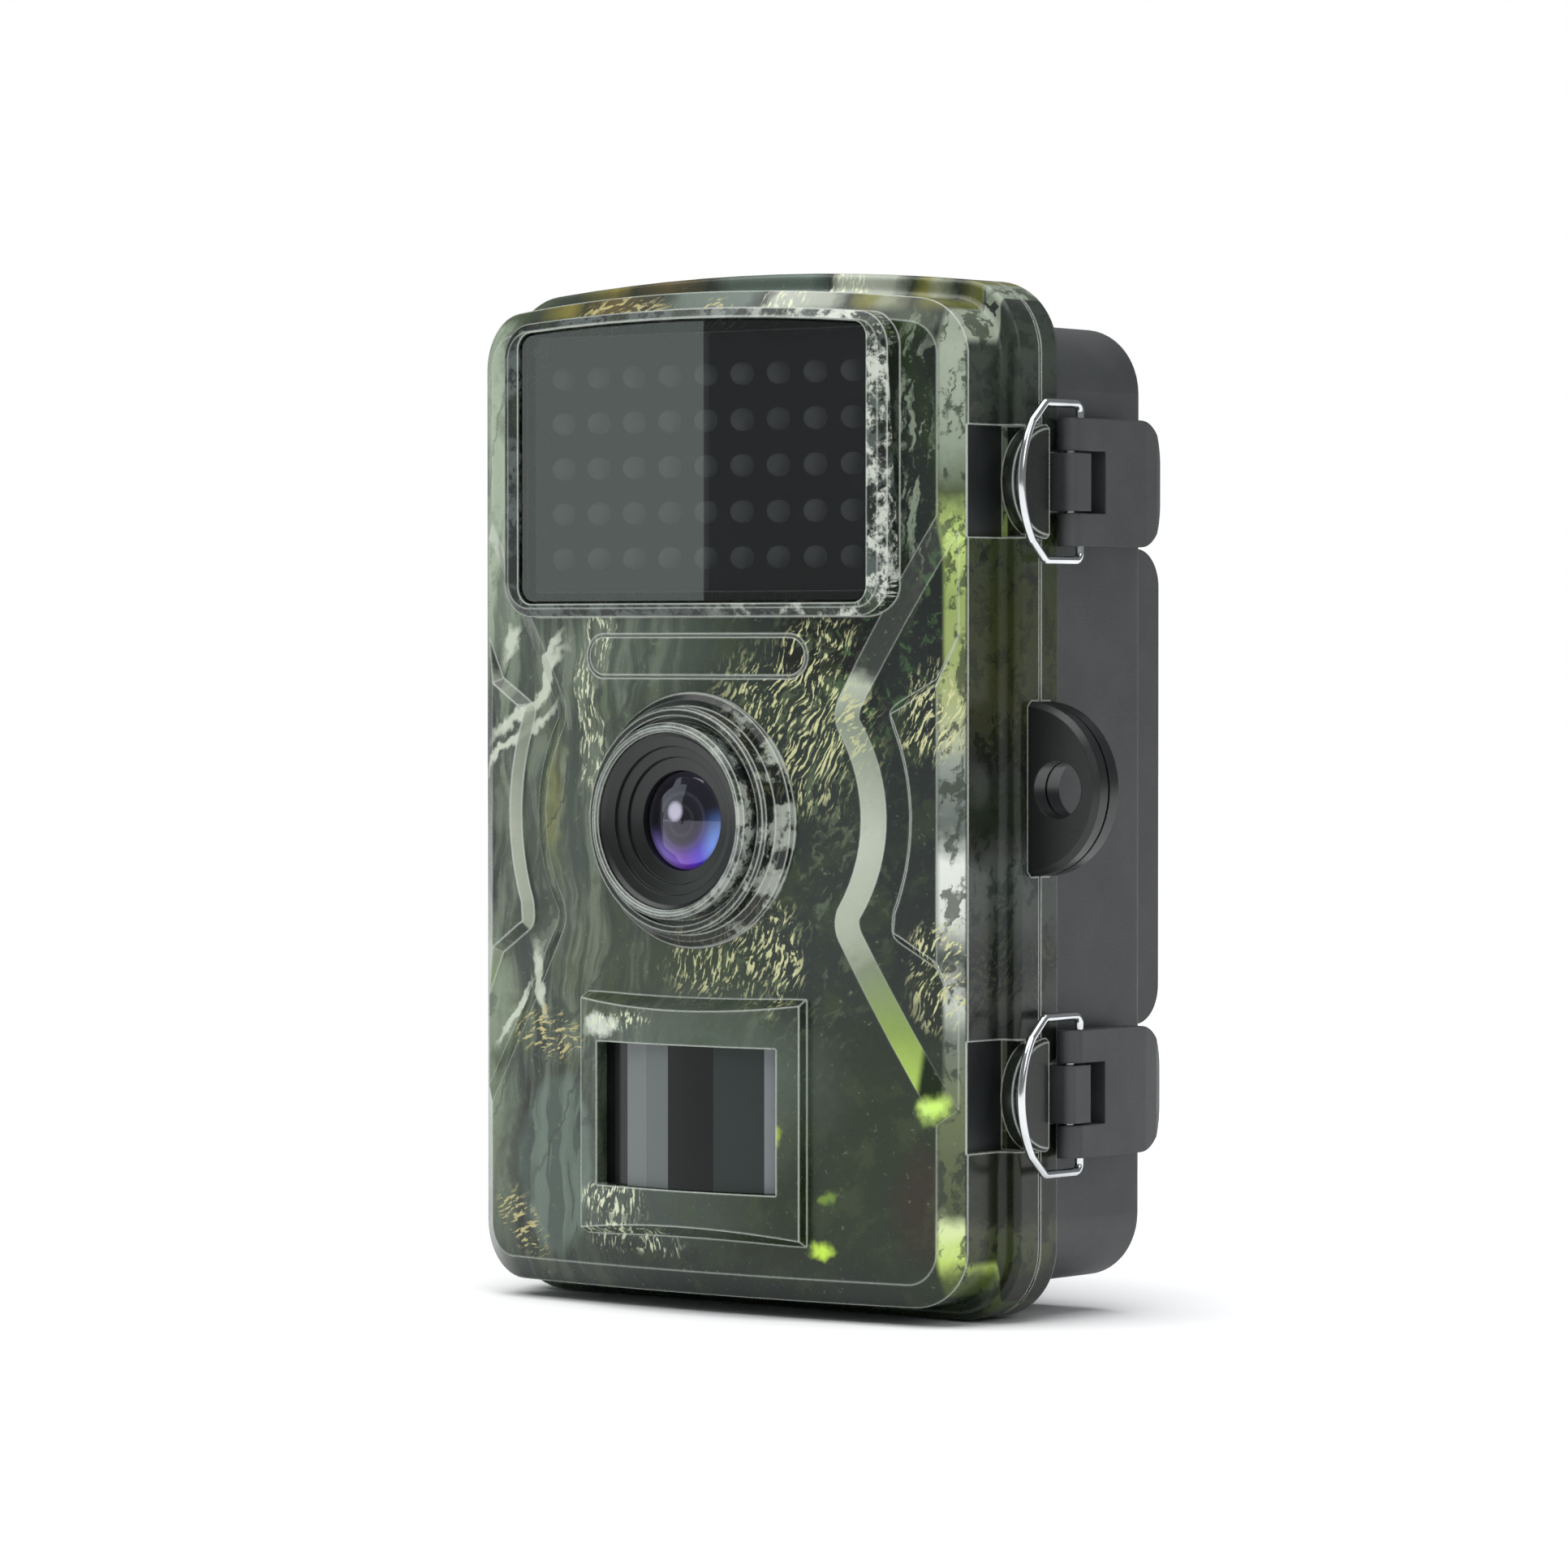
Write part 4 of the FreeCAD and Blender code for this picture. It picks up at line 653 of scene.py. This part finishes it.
def on_bezel(x, y, z):
    wide, high = abs(x), abs(z - WINDOW_HEIGHT)
    return y < -16.9 and wide < 32.3 and high < 20.3 and (wide > 29.0 or high > 18.1)


def on_flange(x, y, z):
    outside = abs(x) > 40.6 or z > 126.5 or z < 3.6
    return y < 4.1 and outside and x < CATCH_START


def finish_nodes():
    camo = woodland("camo")
    rims = speckled("camo_rims")
    black = plain("black_plastic", "0c0e0e", "131616", 0.34, 2.5, 0.015, edge=0.2)
    dark = plain("dark_plastic", "232627", "2b2e2f", 0.42, 3.0, 0.02, edge=0.25)
    grey = plain("grey_plastic", "313334", "3a3c3d", 0.46, 3.0, 0.025, edge=0.3)
    steel = plain("steel", "9a9c9e", "b4b6b8", 0.24, 4.0, 0.006, metallic=1.0, edge=0.1)
    wire = plain("steel_wire", "c4c6c8", "dcdee0", 0.13, 4.0, 0.004, metallic=1.0)
    rubber = plain("rubber", "0a0b0b", "121313", 0.62, 3.0, 0.03, specular=0.35)
    give(camo, "front_shell")
    give_where(dark, "front_shell", inside_door)
    give_where(black, "front_shell", on_ear)
    give_where(rims, "front_shell", on_bezel)
    give(rims, "lens_ring")
    give(grey, "rear_shell")
    give_where(camo, "rear_shell", on_flange)
    give_where(black, "rear_shell", on_ear)
    give(grey, "strap_bracket", "latch_lever_upper", "latch_lever_lower", "switch_body")
    give(black, "inner_cover", "battery_tray", "lens_barrel", "lens_mount", "lens_iris",
         "power_switch", "dc_jack")
    give(rubber, "door_gasket", "jack_cover", "key_domes")
    give(wire, "latch_bail_upper", "latch_bail_lower", "battery_springs")
    give(steel, "hinge_pins", "latch_pins", "bracket_screws", "battery_contacts", "card_slot",
         "usb_port", "pir_sensor")
    give(smoked("smoked_window"), "led_window")
    give(motion_lens("motion_lens"), "pir_lens")
    give(coated_glass("coated_glass"), "lens_front_element", "lens_rear_element")
    give(plain("led_resin", "b4bcbe", "dfe4e5", 0.1, 1.0, 0.01), "ir_leds")
    give(plain("black_mask", "050606", "0b0c0c", 0.5), "led_board")
    give(board("circuit_board"), "main_board")
    give(plain("sensor", "1a1426", "2a2238", 0.15), "image_sensor")
    give(plain("brass", "a8843f", "c29c52", 0.3, 4.0, 0.01, metallic=1.0), "tripod_insert")
    give(label_wrap("cell_wrap"), "battery_cells")
    give(lit_screen("screen"), "lcd_panel")
    give(clear("screen_glass", "20262a", 0.35), "lcd_window")
    give(plain("card_plastic", "15181c", "20242a", 0.4), "memory_card")
    give(plain("button_rubber", "5a5f61", "6a6f71", 0.55, 3.0, 0.02), "button_up", "button_down",
         "button_left", "button_right", "button_ok", "button_menu")
    give(plain("shot_button", "7a2420", "8c2c26", 0.5, 3.0, 0.02), "button_shot")


add_camera()
add_world()
add_floor()
add_lights()
shade_smooth()
finish_nodes()
bpy.context.scene.view_settings.view_transform = "Standard"
